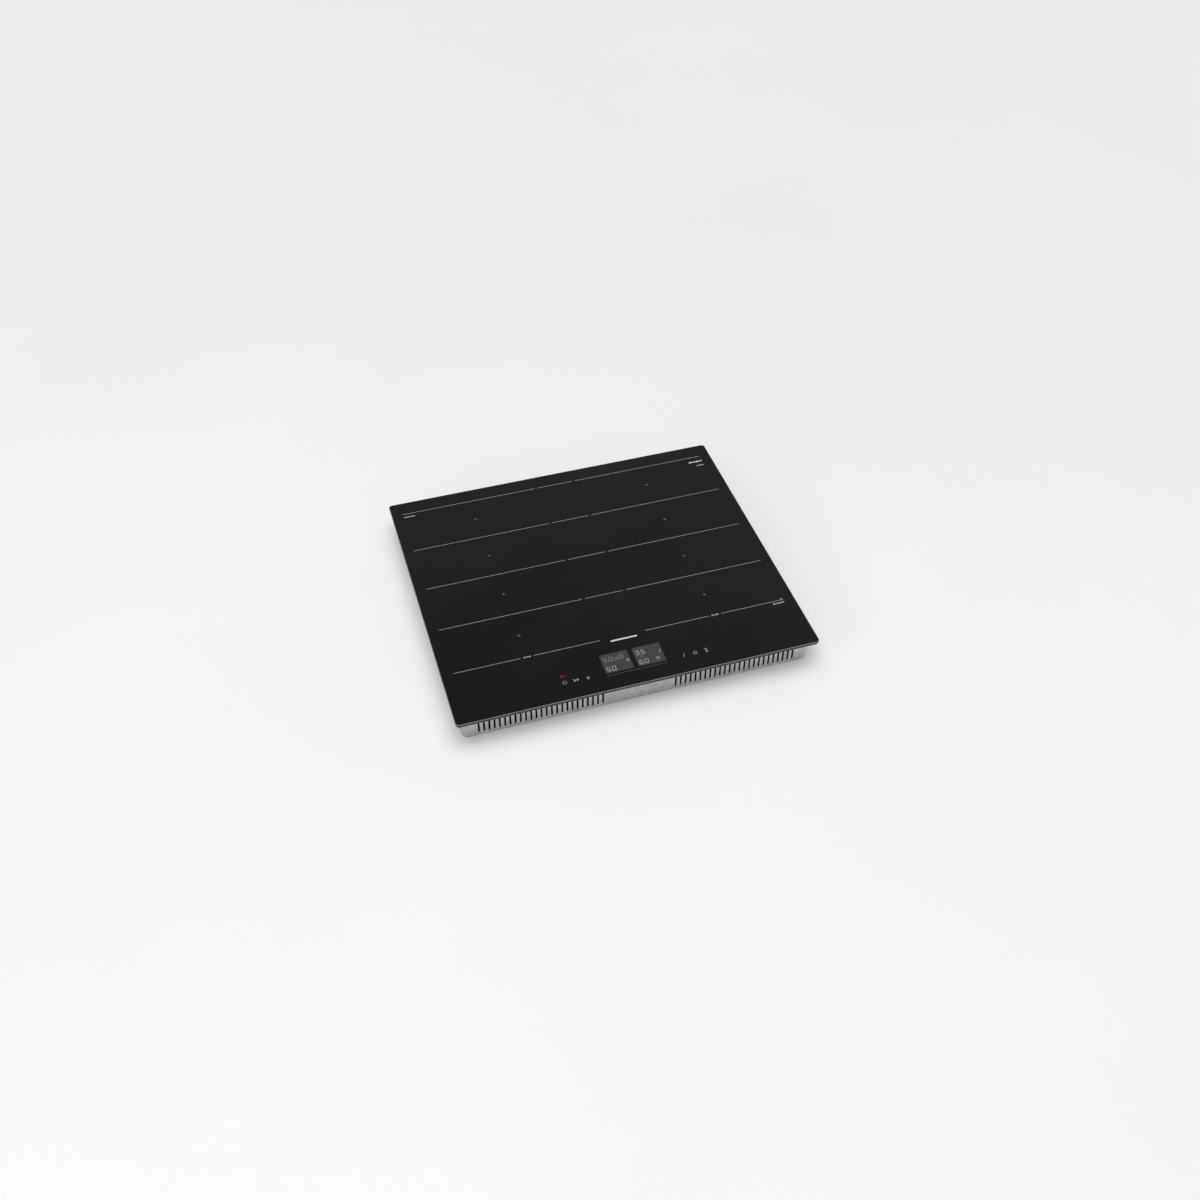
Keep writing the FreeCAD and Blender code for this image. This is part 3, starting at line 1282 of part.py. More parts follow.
def make_box_screws():
    """Terminal screws in the block and the two screws of the cable clamp."""
    screw = pan_screw(
        size("pole_screw_head"), size("screw_head_tall"), size("pole_screw_shank"), size("screw_long")
    )
    level, seat = size("pole_screw_height"), size("block_back") - size("well_deep")
    columns = [size("pole_first") + pole * size("pole_pitch") for pole in range(int(size("pole_count")))]
    copies("terminal_screws", screw, [at(x, seat, level, Vector(1, 0, 0), -90) for x in columns])
    screw = pan_screw(
        size("clamp_screw_head"), size("clamp_screw_tall"), size("clamp_screw_shank"), size("clamp_screw_long")
    )
    seat = size("clamp_under") + size("bar_play") + size("bar_tall")
    columns = [size("cable_across") + sign * size("clamp_post") for sign in SIDES.values()]
    copies("clamp_screws", screw, [at(x, size("clamp_row"), seat) for x in columns])


def make_terminal_cover():
    """A flap whose rounded lower edge turns on two stub pins, with a finger tab at its top."""
    body = new_body("terminal_cover")
    wide = "cover_right - cover_left - 2 * cover_play"
    left = "cover_left + cover_play"
    inner_face = "cover_axis_row - cover_thick / 2"
    tall = "cover_top - cover_play - cover_axis_height"
    block(body, "cover_leaf", (wide, "cover_thick", tall), (left, inner_face, "cover_axis_height"))
    axis = ("cover_axis_row", "cover_axis_height")
    rod(body, "cover_edge", "cover_thick / 2", wide, (*axis, left), plane="YZ_Plane")
    pin_reach = "(cover_pin_long - 2 * cover_play)"
    pin_start = (*axis, f"{left} - {pin_reach}")
    rod(body, "cover_pins", "cover_pin", f"{wide} + 2 * {pin_reach}", pin_start, plane="YZ_Plane")
    middle = "(cover_left + cover_right) / 2"
    outer_face = "cover_axis_row + (cover_thick - root_overlap) / 2"
    tab_at = (f"{middle} - tab_wide / 2", outer_face, "cover_top - tab_drop")
    block(body, "cover_tab", ("tab_wide", "tab_deep", "tab_tall"), tab_at)
    rib_at = (f"{middle} - cover_rib_long / 2", outer_face, "cover_axis_height + cover_rib_low")
    rib = block(body, "cover_rib", ("cover_rib_long", "cover_rib_deep", "cover_rib_tall"), rib_at)
    repeat(body, "cover_ribs", [rib], "Z_Axis", "cover_rib_pitch", "3")


make_filter_board()
make_filter_parts()
make_terminal_box()
make_cable_clamp()
make_terminal_block()
make_box_screws()
make_terminal_cover()

# ------------------------ spring clips that hold the cooktop in its cut-out


def make_clip_brackets():
    """A plate on the tray's wall with two ears, for each clip."""
    body = new_body("clip_brackets")
    body.AllowCompound = True
    half = "clip_width / 2 + clip_play"
    pieces = []
    for name, sign in SIDES.items():
        wall = f"{sign} * tray_width / 2 - {(1 - sign) // 2}"
        plate = ("bracket_sheet", f"2 * ({half} + bracket_wing)", "bracket_tall")
        plate_at = (f"{wall} * bracket_sheet", f"-clip_row - ({half}) - bracket_wing", "bracket_under")
        pieces.append(block(body, "plate_" + name, plate, plate_at))
        for end, way in (("low", -1), ("high", 1)):
            low_y = f"-clip_row + {way} * ({half} + ear_sheet / 2) - ear_sheet / 2"
            ear_at = (f"{wall} * ear_reach", low_y, "clip_pin_height - ear_tall / 2")
            pieces.append(block(body, f"ear_{name}_{end}", ("ear_reach", "ear_sheet", "ear_tall"), ear_at))
    repeat(body, "brackets", pieces, "Y_Axis", "2 * clip_row", "2")
    bore, reach = "clip_pin_radius + bracket_bore_play", "2 * (clip_row + clip_width)"
    for name, sign in SIDES.items():
        pin_at = (f"{sign} * clip_pin_across", "clip_pin_height", "-clip_row - clip_width")
        rod(body, "pin_hole_" + name, bore, reach, pin_at, True, "XZ_Plane")


def make_clip_pins():
    body = new_body("clip_pins")
    body.AllowCompound = True
    half = "(clip_width / 2 + clip_play + clip_pin_end)"
    pins = []
    for name, sign in SIDES.items():
        pin_at = (f"{sign} * clip_pin_across", "clip_pin_height", f"clip_row - {half}")
        pins.append(rod(body, "pin_" + name, "clip_pin_radius", f"2 * {half}", pin_at, plane="XZ_Plane"))
    repeat(body, "pins", pins, "Y_Axis", "2 * clip_row", "2")


def make_side_clip(label, sign, row):
    """A leaf of spring steel that bulges outwards, rolled round its pin at the top."""
    sheet_thick = size("clip_sheet")
    pin_x, pin_z = size("clip_pin_across"), size("clip_pin_height")
    eye = size("clip_pin_radius") + size("clip_play")
    wide = size("clip_width")
    outer = eye + sheet_thick
    knuckle = Part.makeCylinder(outer, wide, Vector(pin_x, -wide / 2, pin_z), Vector(0, 1, 0))
    start = (outer, -0.2)
    front = [Vector(pin_x + x, -wide / 2, pin_z + z) for x, z in [start] + CLIP_BULGE]
    slant = 1.03
    back = [point - Vector(sheet_thick * slant, 0, 0) for point in reversed(front)]
    leaf = Part.Face(Part.makePolygon(front + back + front[:1])).extrude(Vector(0, wide, 0))
    clip = knuckle.fuse(leaf)
    eye_from = Vector(pin_x, -wide / 2 - size("cut_extra"), pin_z)
    eye_long = wide + 2 * size("cut_extra")
    clip = clip.cut(Part.makeCylinder(eye, eye_long, eye_from, Vector(0, 1, 0))).removeSplitter()
    if sign < 0:
        clip = clip.mirror(Vector(), Vector(1, 0, 0))
    shape_part(label, clip, 0.0, row, 0.0)


make_clip_brackets()
make_clip_pins()
for side, sign in SIDES.items():
    for end, way in (("front", -1), ("back", 1)):
        make_side_clip(f"side_clip_{side}_{end}", sign, way * size("clip_row"))

# ------------------------ check and export

doc.recompute()
for thing in doc.Objects:
    if "Invalid" in thing.State or "Error" in thing.State:
        raise RuntimeError(f"{thing.Name} could not be computed")
os.makedirs("parts", exist_ok=True)
for label, thing in subparts.items():
    if thing.Shape.isNull() or not thing.Shape.isValid():
        raise RuntimeError(f"{label} has no valid shape")
    thing.Shape.exportStep(f"parts/{label}.step")
    print(f"{label}: {len(thing.Shape.Solids)} solid(s), {thing.Shape.Volume / 1000:.1f} cm3")
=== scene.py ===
"""Visual model of a built-in induction cooktop on its CAD frame: metres, +Z up, the user's side at -Y."""
import json
import math

import bmesh
import bpy
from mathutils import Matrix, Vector


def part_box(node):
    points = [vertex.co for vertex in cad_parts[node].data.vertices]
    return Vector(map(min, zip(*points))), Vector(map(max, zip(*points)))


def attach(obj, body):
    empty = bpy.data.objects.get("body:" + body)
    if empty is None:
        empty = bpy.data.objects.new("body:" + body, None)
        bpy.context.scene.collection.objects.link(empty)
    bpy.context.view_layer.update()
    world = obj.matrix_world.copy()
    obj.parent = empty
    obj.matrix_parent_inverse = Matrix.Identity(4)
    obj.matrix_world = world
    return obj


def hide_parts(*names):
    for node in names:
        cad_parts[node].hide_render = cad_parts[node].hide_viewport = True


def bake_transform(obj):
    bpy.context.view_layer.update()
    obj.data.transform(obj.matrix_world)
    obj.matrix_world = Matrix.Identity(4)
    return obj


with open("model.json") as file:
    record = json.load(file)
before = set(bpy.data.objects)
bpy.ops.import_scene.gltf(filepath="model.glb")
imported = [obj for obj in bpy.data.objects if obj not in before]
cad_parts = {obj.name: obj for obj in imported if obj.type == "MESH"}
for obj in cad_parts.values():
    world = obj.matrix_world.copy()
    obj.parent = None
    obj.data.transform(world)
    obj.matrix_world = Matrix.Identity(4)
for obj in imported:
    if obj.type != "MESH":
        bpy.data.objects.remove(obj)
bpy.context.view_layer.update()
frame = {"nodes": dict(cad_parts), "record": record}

scene = bpy.context.scene
nodes = frame["nodes"]
MM = 0.001

# ------------------------ material helpers


class Shade:
    """A node material with one Principled shader, and short ways to add the nodes that feed it."""

    def __init__(self, name, colour, rough, metal=0.0, ior=1.5):
        self.material = bpy.data.materials.new(name)
        self.material.use_nodes = True
        self.tree = self.material.node_tree
        self.bsdf = self.tree.nodes["Principled BSDF"]
        self.set(self.bsdf, "Base Color", (*colour, 1.0))
        self.set(self.bsdf, "Roughness", rough)
        self.set(self.bsdf, "Metallic", metal)
        self.set(self.bsdf, "IOR", ior)
        self.coords = self.tree.nodes.new("ShaderNodeTexCoord")
        self.material.diffuse_color = (*colour, 1.0)

    def set(self, node, socket, value):
        node.inputs[socket].default_value = value

    def link(self, start, end):
        self.tree.links.new(start, end)

    def node(self, kind, **settings):
        made = self.tree.nodes.new("ShaderNode" + kind)
        for name, value in settings.items():
            setattr(made, name, value)
        return made

    def place(self, stretch=(1, 1, 1), turn=(0, 0, 0)):
        mapping = self.node("Mapping")
        self.set(mapping, "Scale", stretch)
        self.set(mapping, "Rotation", turn)
        self.link(self.coords.outputs["Object"], mapping.inputs["Vector"])
        return mapping.outputs["Vector"]

    def noise(self, scale, detail=3.0, rough=0.55, where=None):
        made = self.node("TexNoise")
        self.set(made, "Scale", scale)
        self.set(made, "Detail", detail)
        self.set(made, "Roughness", rough)
        self.link(where or self.coords.outputs["Object"], made.inputs["Vector"])
        return made.outputs["Fac"]

    def cells(self, scale, output="Distance"):
        made = self.node("TexVoronoi")
        self.set(made, "Scale", scale)
        self.link(self.coords.outputs["Object"], made.inputs["Vector"])
        return made.outputs[output]

    def wave(self, scale, where, direction, distortion):
        made = self.node("TexWave", bands_direction=direction)
        self.set(made, "Scale", scale)
        self.set(made, "Distortion", distortion)
        self.link(where, made.inputs["Vector"])
        return made.outputs["Fac"]

    def ramp(self, value, *stops):
        made = self.node("ValToRGB")
        band = made.color_ramp
        while len(band.elements) < len(stops):
            band.elements.new(0.5)
        for element, (place, colour) in zip(band.elements, stops):
            element.position = place
            element.color = (*colour, 1.0)
        self.link(value, made.inputs["Fac"])
        return made.outputs["Color"]

    def remap(self, value, low, high, start=0.0, end=1.0):
        made = self.node("MapRange")
        limits = {"From Min": start, "From Max": end, "To Min": low, "To Max": high}
        for socket, number in limits.items():
            self.set(made, socket, number)
        self.link(value, made.inputs["Value"])
        return made.outputs["Result"]

    def math(self, operation, first, second):
        made = self.node("Math", operation=operation)
        for socket, term in zip(made.inputs, (first, second)):
            if isinstance(term, (int, float)):
                socket.default_value = term
            else:
                self.link(term, socket)
        return made.outputs["Value"]

    def absolute(self, value):
        return self.math("ABSOLUTE", value, 0.0)

    def mix(self, factor, first, second):
        """first and second are tuples or sockets. The Mix node takes colours in its inputs 6 and 7."""
        made = self.node("Mix", data_type="RGBA")
        self.link(factor, made.inputs[0])
        for socket, colour in zip(made.inputs[6:8], (first, second)):
            if isinstance(colour, tuple):
                socket.default_value = (*colour, 1.0)
            else:
                self.link(colour, socket)
        return made.outputs[2]

    def colour(self, value):
        self.link(value, self.bsdf.inputs["Base Color"])

    def rough(self, value):
        self.link(value, self.bsdf.inputs["Roughness"])

    def bump(self, value, height, strength=0.5):
        made = self.node("Bump")
        self.set(made, "Strength", strength)
        self.set(made, "Distance", height)
        self.link(value, made.inputs["Height"])
        self.link(made.outputs["Normal"], self.bsdf.inputs["Normal"])

    def axis(self, name, source="Object"):
        made = self.node("SeparateXYZ")
        self.link(self.coords.outputs[source], made.inputs["Vector"])
        return made.outputs[name]


def tint(colour, factor):
    return tuple(min(1.0, channel * factor) for channel in colour)


def mottled(name, colour, rough, vary, scale, grain, depth, spread=0.08):
    """A plain finish with slow colour drift, uneven gloss and a fine grain."""
    shade = Shade(name, colour, rough)
    drift = shade.noise(scale, 4.0)
    shade.colour(shade.ramp(drift, (0.3, tint(colour, 1 - vary)), (0.7, tint(colour, 1 + vary))))
    shade.rough(shade.remap(shade.noise(scale * 2.3, 3.0), rough - spread, rough + spread, 0.3, 0.7))
    shade.bump(shade.noise(grain, 2.0), depth)
    return shade


# ------------------------ materials

GLASS = (0.0052, 0.0058, 0.0057)
GLASS_IOR = 1.52


def black_glass():
    """Glass-ceramic: near black, glossy, with a ground edge and the faint haze of a wiped surface."""
    shade = Shade("black_glass_ceramic", GLASS, 0.07, ior=GLASS_IOR)
    # The ground edge is where the surface neither lies flat nor stands upright.
    not_flat = shade.remap(shade.axis("Z", "Normal"), 1.0, 0.0, 0.80, 0.97)
    not_upright = shade.remap(shade.axis("Z", "Normal"), 0.0, 1.0, 0.12, 0.4)
    edge = shade.math("MULTIPLY", not_flat, not_upright)
    drift = shade.ramp(shade.noise(5.0, 5.0), (0.35, tint(GLASS, 0.8)), (0.7, tint(GLASS, 1.35)))
    shade.colour(shade.mix(edge, drift, (0.16, 0.165, 0.165)))
    wiped = shade.noise(9.0, 6.0, 0.62, shade.place((1.0, 2.6, 1.0), (0, 0, 0.5)))
    gloss = shade.remap(wiped, 0.055, 0.115, 0.35, 0.75)
    rough_edge = shade.remap(edge, 0.0, 0.34)
    shade.rough(shade.math("ADD", gloss, rough_edge))
    shade.bump(shade.noise(14.0, 2.0), 0.00002, 0.15)
    return shade


def galvanised():
    """Galvanised sheet: zinc spangles of a few millimetres, a fine grain and a dull sheen."""
    base = (0.50, 0.52, 0.54)
    shade = Shade("galvanised_steel", base, 0.38, 1.0)
    grey = shade.node("RGBToBW")
    shade.link(shade.cells(170.0, "Color"), grey.inputs["Color"])
    spangle = shade.math("MULTIPLY", grey.outputs["Val"], 0.6)
    fine = shade.math("MULTIPLY", shade.noise(420.0, 3.0), 0.4)
    tone = shade.math("ADD", spangle, fine)
    shade.colour(shade.ramp(tone, (0.2, tint(base, 0.84)), (0.8, tint(base, 1.14))))
    shade.rough(shade.remap(tone, 0.30, 0.48, 0.2, 0.8))
    shade.bump(shade.noise(700.0, 2.0), 0.00002, 0.4)
    return shade


def brushed(name, colour, rough, stretch, scale):
    """Bare metal with fine marks, drawn out along one axis by stretch."""
    shade = Shade(name, colour, rough, 1.0)
    lines = shade.noise(scale, 4.0, 0.6, shade.place(stretch))
    shade.colour(shade.ramp(lines, (0.3, tint(colour, 0.86)), (0.7, tint(colour, 1.1))))
    shade.rough(shade.remap(lines, rough - 0.07, rough + 0.1, 0.3, 0.7))
    shade.bump(lines, 0.00002, 0.3)
    return shade


def circuit_board():
    """Green solder mask over copper tracks, with solder pads among them."""
    shade = Shade("circuit_board", (0.01, 0.09, 0.035), 0.28)
    tracks = shade.node("TexBrick", offset=0.37, squash=0.6)
    layout = {"Scale": 60.0, "Mortar Size": 0.045, "Brick Width": 0.9, "Row Height": 0.22}
    for socket, number in layout.items():
        shade.set(tracks, socket, number)
    shade.link(shade.place((1, 1, 0.001)), tracks.inputs["Vector"])
    board = shade.mix(tracks.outputs["Fac"], (0.008, 0.075, 0.03), (0.02, 0.15, 0.06))
    pads = shade.remap(shade.cells(260.0), 1.0, 0.0, 0.10, 0.14)
    shade.colour(shade.mix(pads, board, (0.55, 0.55, 0.52)))
    shade.rough(shade.remap(shade.noise(90.0), 0.22, 0.36, 0.3, 0.7))
    shade.bump(tracks.outputs["Fac"], 0.00006, 0.5)
    return shade


def litz():
    """Varnished litz: twisted copper strands whose twist shows as slanted bands."""
    base = (0.42, 0.17, 0.07)
    shade = Shade("copper_litz", base, 0.32, 0.9)
    twist = shade.math("MULTIPLY", shade.wave(160.0, shade.place((1, 1, 1), (0, 0, 0.7)), "X", 1.5), 0.55)
    strands = shade.math("MULTIPLY", shade.noise(1800.0, 2.0), 0.45)
    tone = shade.math("ADD", twist, strands)
    shade.colour(shade.ramp(tone, (0.25, tint(base, 0.55)), (0.75, tint(base, 1.25))))
    shade.rough(shade.remap(tone, 0.25, 0.45, 0.2, 0.8))
    shade.bump(tone, 0.00012, 0.5)
    return shade


def components():
    """Amber capacitors, black transistors by the heatsinks and blue filter parts, each by its place."""
    module_centre, sink_reach, corridor_reach = 0.152, (0.0385, 0.0395), (0.036, 0.04)
    shade = Shade("component_plastic", (0.2, 0.08, 0.05), 0.35)
    from_middle = shade.absolute(shade.axis("X"))
    from_sink = shade.absolute(shade.math("SUBTRACT", from_middle, module_centre))
    beside_sink = shade.remap(from_sink, 1.0, 0.0, *sink_reach)
    in_corridor = shade.remap(from_middle, 1.0, 0.0, *corridor_reach)
    film = shade.ramp(shade.noise(25.0, 1.0), (0.42, (0.35, 0.20, 0.05)), (0.58, (0.42, 0.26, 0.08)))
    colour = shade.mix(beside_sink, film, (0.012, 0.012, 0.013))
    shade.colour(shade.mix(in_corridor, colour, (0.05, 0.10, 0.20)))
    shade.rough(shade.remap(shade.noise(70.0), 0.25, 0.45, 0.3, 0.7))
    shade.bump(shade.noise(1200.0), 0.00003)
    return shade


def fibre():
    """A felted ceramic mat: two sets of fibres across each other."""
    base = (0.74, 0.72, 0.66)
    shade = Shade("fibre_mat", base, 0.92)
    strands = shade.noise(140.0, 6.0, 0.7, shade.place((1, 5, 1), (0, 0, 0.6)))
    crossing = shade.noise(140.0, 6.0, 0.7, shade.place((6, 1, 1), (0, 0, -0.4)))
    felt = shade.math("MULTIPLY", strands, crossing)
    shade.colour(shade.ramp(felt, (0.12, tint(base, 0.72)), (0.42, tint(base, 1.12))))
    shade.bump(felt, 0.0003, 0.6)
    return shade


def laminated():
    """A stack of thin steel sheets, seen from the side."""
    base = (0.30, 0.30, 0.31)
    shade = Shade("motor_core", base, 0.4, 1.0)
    sheets = shade.wave(320.0, shade.place(), "Z", 0.4)
    shade.colour(shade.ramp(sheets, (0.2, tint(base, 0.5)), (0.6, tint(base, 1.2))))
    shade.rough(shade.remap(shade.noise(300.0), 0.3, 0.5, 0.3, 0.7))
    shade.bump(sheets, 0.0001, 0.5)
    return shade


materials = {
    "black_glass_ceramic": black_glass(),
    "foam_seal": mottled("foam_seal", (0.02, 0.02, 0.021), 0.88, 0.3, 120.0, 1600.0, 0.0002, 0.05),
    "silicone": mottled("silicone", (0.045, 0.045, 0.047), 0.42, 0.15, 40.0, 260.0, 0.0001),
    "galvanised_steel": galvanised(),
    "zinc_screw": brushed("zinc_screw", (0.62, 0.62, 0.64), 0.3, (1, 1, 1), 500.0),
    "spring_steel": brushed("spring_steel", (0.46, 0.47, 0.49), 0.26, (1, 30, 1), 60.0),
    "black_plastic": mottled("black_plastic", (0.017, 0.017, 0.018), 0.5, 0.25, 50.0, 1500.0, 0.00006),
    "former_plastic": mottled("former_plastic", (0.04, 0.04, 0.042), 0.48, 0.2, 50.0, 1500.0, 0.00006),
    "white_plastic": mottled("white_plastic", (0.72, 0.72, 0.69), 0.4, 0.05, 50.0, 1300.0, 0.00004),
    "circuit_board": circuit_board(),
    "aluminium": brushed("aluminium", (0.72, 0.73, 0.74), 0.32, (25, 1, 1), 60.0),
    "copper_litz": litz(),
    "ferrite": mottled("ferrite", (0.035, 0.035, 0.038), 0.62, 0.35, 200.0, 900.0, 0.0001),
    "fibre_mat": fibre(),
    "component_plastic": components(),
    "motor_core": laminated(),
    "display_plastic": mottled("display_plastic", (0.02, 0.02, 0.021), 0.3, 0.2, 60.0, 900.0, 0.00003),
    "conductive_foam": mottled("conductive_foam", (0.05, 0.05, 0.052), 0.85, 0.3, 200.0, 1500.0, 0.0002),
}

for part in frame["record"]["subparts"]:
    for holder in nodes[part["node"]].material_slots:
        holder.material = materials[part["material_slot"]].material

# The springs keep the shape of their CAD node.
for side in ("left", "right"):
    node = "plate_springs_" + side
    springs = bpy.data.objects.new("pressed_springs_" + side, nodes[node].data.copy())
    scene.collection.objects.link(springs)
    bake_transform(springs)
    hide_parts(node)


def print_ink(name, colour):
    """Fired ceramic ink: a little rough, and uneven where the screen left it thinner."""
    rough = 0.34
    shade = Shade(name, colour, rough)
    screen = shade.noise(1500.0, 2.0)
    shade.colour(shade.ramp(screen, (0.25, tint(colour, 0.82)), (0.75, tint(colour, 1.1))))
    shade.rough(shade.remap(screen, rough - 0.06, rough + 0.1, 0.3, 0.7))
    shade.bump(screen, 0.00001, 0.3)
    return shade.material


def lit(name, colour, strength, base=(0.01, 0.01, 0.01)):
    """Light that comes up through the glass."""
    shade = Shade(name, base, 0.08, ior=GLASS_IOR)
    shade.set(shade.bsdf, "Emission Strength", strength)
    glow = shade.ramp(shade.noise(240.0, 2.0), (0.2, tint(colour, 0.86)), (0.8, tint(colour, 1.0)))
    shade.link(glow, shade.bsdf.inputs["Emission Color"])
    return shade.material


WHITE_LIGHT = (0.80, 0.82, 0.82)

line_ink = print_ink("line_ink", (0.27, 0.275, 0.275))
faint_ink = print_ink("faint_ink", (0.20, 0.204, 0.204))
plain_ink = print_ink("plain_ink", (0.42, 0.425, 0.42))
bright_ink = print_ink("bright_ink", (0.58, 0.585, 0.58))
panel_glow = lit("panel_glow", (0.034, 0.035, 0.036), 1.0, (0.018, 0.018, 0.018))
bright_glow = lit("bright_glow", WHITE_LIGHT, 0.72)
clear_glow = lit("clear_glow", WHITE_LIGHT, 0.45)
soft_glow = lit("soft_glow", WHITE_LIGHT, 0.34)
dim_glow = lit("dim_glow", WHITE_LIGHT, 0.25)
faint_glow = lit("faint_glow", WHITE_LIGHT, 0.08)
red_glow = lit("red_glow", (0.85, 0.05, 0.04), 0.17, (0.03, 0.004, 0.004))

# ------------------------ printed and lit shapes

# The outlines below are in millimetres, in the frame's X and Y. TOP, the glass's upper face, is in metres.
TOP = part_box("glass_top")[1][2]
INK = 0.03
HALF_ROUND_STEPS = 6
CORNER_STEPS = 4
RING_STEPS = 28


def corners(node):
    """A node's lowest and highest corners in millimetres."""
    return [[value / MM for value in corner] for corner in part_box(node)]


def middle_of(node):
    return [(low + high) / 2 for low, high in zip(*corners(node))]


def strip(x0, y0, x1, y1, width):
    """The outline of a straight stroke with round ends."""
    start, end = Vector((x0, y0)), Vector((x1, y1))
    along = (end - start).normalized()
    turn = math.atan2(along.y, along.x)
    outline = []
    for centre, first in ((end, turn - math.pi / 2), (start, turn + math.pi / 2)):
        for step in range(HALF_ROUND_STEPS + 1):
            angle = first + math.pi * step / HALF_ROUND_STEPS
            outline.append((centre.x + width / 2 * math.cos(angle), centre.y + width / 2 * math.sin(angle)))
    return outline


def bar(x0, y0, x1, y1, corner=0.0):
    """The outline of a rectangle with rounded corners."""
    if not corner:
        return [(x0, y0), (x1, y0), (x1, y1), (x0, y1)]
    outline = []
    left, right, low, high = x0 + corner, x1 - corner, y0 + corner, y1 - corner
    centres = ((right, low, -90), (right, high, 0), (left, high, 90), (left, low, 180))
    for centre_x, centre_y, first in centres:
        for step in range(CORNER_STEPS + 1):
            angle = math.radians(first + 90 * step / CORNER_STEPS)
            outline.append((centre_x + corner * math.cos(angle), centre_y + corner * math.sin(angle)))
    return outline


def arc(centre_x, centre_y, radius, width, first=0, last=360):
    """A piece of ring, from first to last in degrees, as short four-cornered outlines."""
    pieces = []
    for step in range(RING_STEPS):
        ends = [math.radians(first + (last - first) * (step + offset) / RING_STEPS) for offset in (0, 1)]
        outline = []
        for rim, order in ((radius + width / 2, ends), (radius - width / 2, ends[::-1])):
            for angle in order:
                outline.append((centre_x + rim * math.cos(angle), centre_y + rim * math.sin(angle)))
        pieces.append(outline)
    return pieces


def decal(name, outlines, material, lift=0.0):
    """Flat shapes as thick as ink on the glass, or lift higher on something that is printed already."""
    mesh = bpy.data.meshes.new(name)
    work = bmesh.new()
    low, high = TOP + lift * MM, TOP + (lift + INK) * MM
    for outline in outlines:
        upper = [work.verts.new((x * MM, y * MM, high)) for x, y in outline]
        lower = [work.verts.new((x * MM, y * MM, low)) for x, y in outline]
        work.faces.new(upper)
        for index in range(len(outline)):
            other = (index + 1) % len(outline)
            work.faces.new((upper[index], lower[index], lower[other], upper[other]))
        work.faces.new(lower[::-1])
    bmesh.ops.recalc_face_normals(work, faces=work.faces)
    work.to_mesh(mesh)
    work.free()
    piece = bpy.data.objects.new(name, mesh)
    piece.data.materials.append(material)
    scene.collection.objects.link(piece)
    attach(piece, "housing")


zone_x = middle_of("coil_right_1")[0]
zone_rows = [middle_of(f"coil_right_{number}")[1] for number in (1, 2, 3, 4)]
pitch = (zone_rows[3] - zone_rows[0]) / 3
front_row, *full_rows = [zone_rows[0] - pitch / 2 + pitch * step for step in range(5)]
back_row = full_rows[-1]

# Half lengths and ends are measured from the middle of the glass or of the sign.
LINE = 0.9
MIDDLE_PIECE_END = 31.2
LINE_START, LINE_END = 36.8, 267.0
ARROW_GAP = (141.2, 163.0)

lines = []
for row in full_rows:
    lines.append(strip(-MIDDLE_PIECE_END, row, MIDDLE_PIECE_END, row, LINE))
    for side in (-1, 1):
        lines.append(strip(side * LINE_START, row, side * LINE_END, row, LINE))
for side in (-1, 1):
    lines.append(strip(side * LINE_START, front_row, side * ARROW_GAP[0], front_row, LINE))
    lines.append(strip(side * ARROW_GAP[1], front_row, side * LINE_END, front_row, LINE))
decal("zone_lines", lines, line_ink)

CROSS_ACROSS, CROSS_ALONG, CROSS_LINE = 2.4, 2.0, 0.7
crosses = []
for side in (-1, 1):
    x = side * zone_x
    for row in zone_rows:
        crosses.append(strip(x - CROSS_ACROSS, row, x + CROSS_ACROSS, row, CROSS_LINE))
        crosses.append(strip(x, row - CROSS_ALONG, x, row + CROSS_ALONG, CROSS_LINE))
decal("zone_marks", crosses, faint_ink)


def arrow_sign(x, y):
    """A short bar between two arrowheads that point outwards."""
    bar_reach, bar_half, head_foot, head_tip, head_half = 2.2, 0.75, 3.2, 6.2, 1.9
    outlines = [bar(x - bar_reach, y - bar_half, x + bar_reach, y + bar_half, 0.6)]
    for way in (-1, 1):
        foot, tip = x + way * head_foot, x + way * head_tip
        outlines.append([(foot, y - head_half), (tip, y), (foot, y + head_half)][::way])
    return outlines


decal("zone_arrows", arrow_sign(-zone_x, front_row) + arrow_sign(zone_x, front_row), plain_ink)


def legend(left, low, widths, height):
    """A row of short plain bars in place of small print."""
    rounding, space = height * 0.3, height * 0.32
    outlines, x = [], left
    for width in widths:
        outlines.append(bar(x, low, x + width, low + height, rounding))
        x += width + space
    return outlines


# Left end, foot, widths of the bars and their height, at the back left, back right and front right.
LEGENDS = (
    (-266.5, back_row - 9.4, (3.0, 5.2, 2.2, 4.6, 1.6), 1.7),
    (252.5, back_row - 25.0, (4.2, 2.4, 5.6), 1.7),
    (247.5, front_row - 6.4, (4.6, 3.0, 6.2, 3.6), 1.9),
)
small_print = [outline for place in LEGENDS for outline in legend(*place)]
small_print.append(bar(262.5, front_row + 1.6, 266.0, front_row + 3.0, 0.5))
decal("small_print", small_print, plain_ink)
decal("corner_print", legend(242.5, back_row - 14.4, (6.4, 3.4, 7.6, 4.2), 3.0), bright_ink)

MARK_REACH, MARK_FRONT, MARK_BACK, MARK_CORNER = 21.4, -162.0, -159.0, 1.4
decal("front_mark", [bar(-MARK_REACH, MARK_FRONT, MARK_REACH, MARK_BACK, MARK_CORNER)], bright_ink)

# ------------------------ lit controls

# The strokes of each digit on the displays: a is at the top, b to f go round clockwise, g is in the middle.
SEGMENTS = {"0": "abcdef", "3": "abgcd", "5": "afgcd", "6": "afgedc", "9": "abcdfg"}
DIGIT_WIDTH, DIGIT_HEIGHT, DIGIT_STROKE, DIGIT_LEAN = 4.8, 8.0, 0.95, 0.08
POINT_SIDES, POINT_ENDS, POINT_CORNER = (6.3, 7.4), (-0.5, 0.6), 0.3
SECOND_DIGIT = 8.9


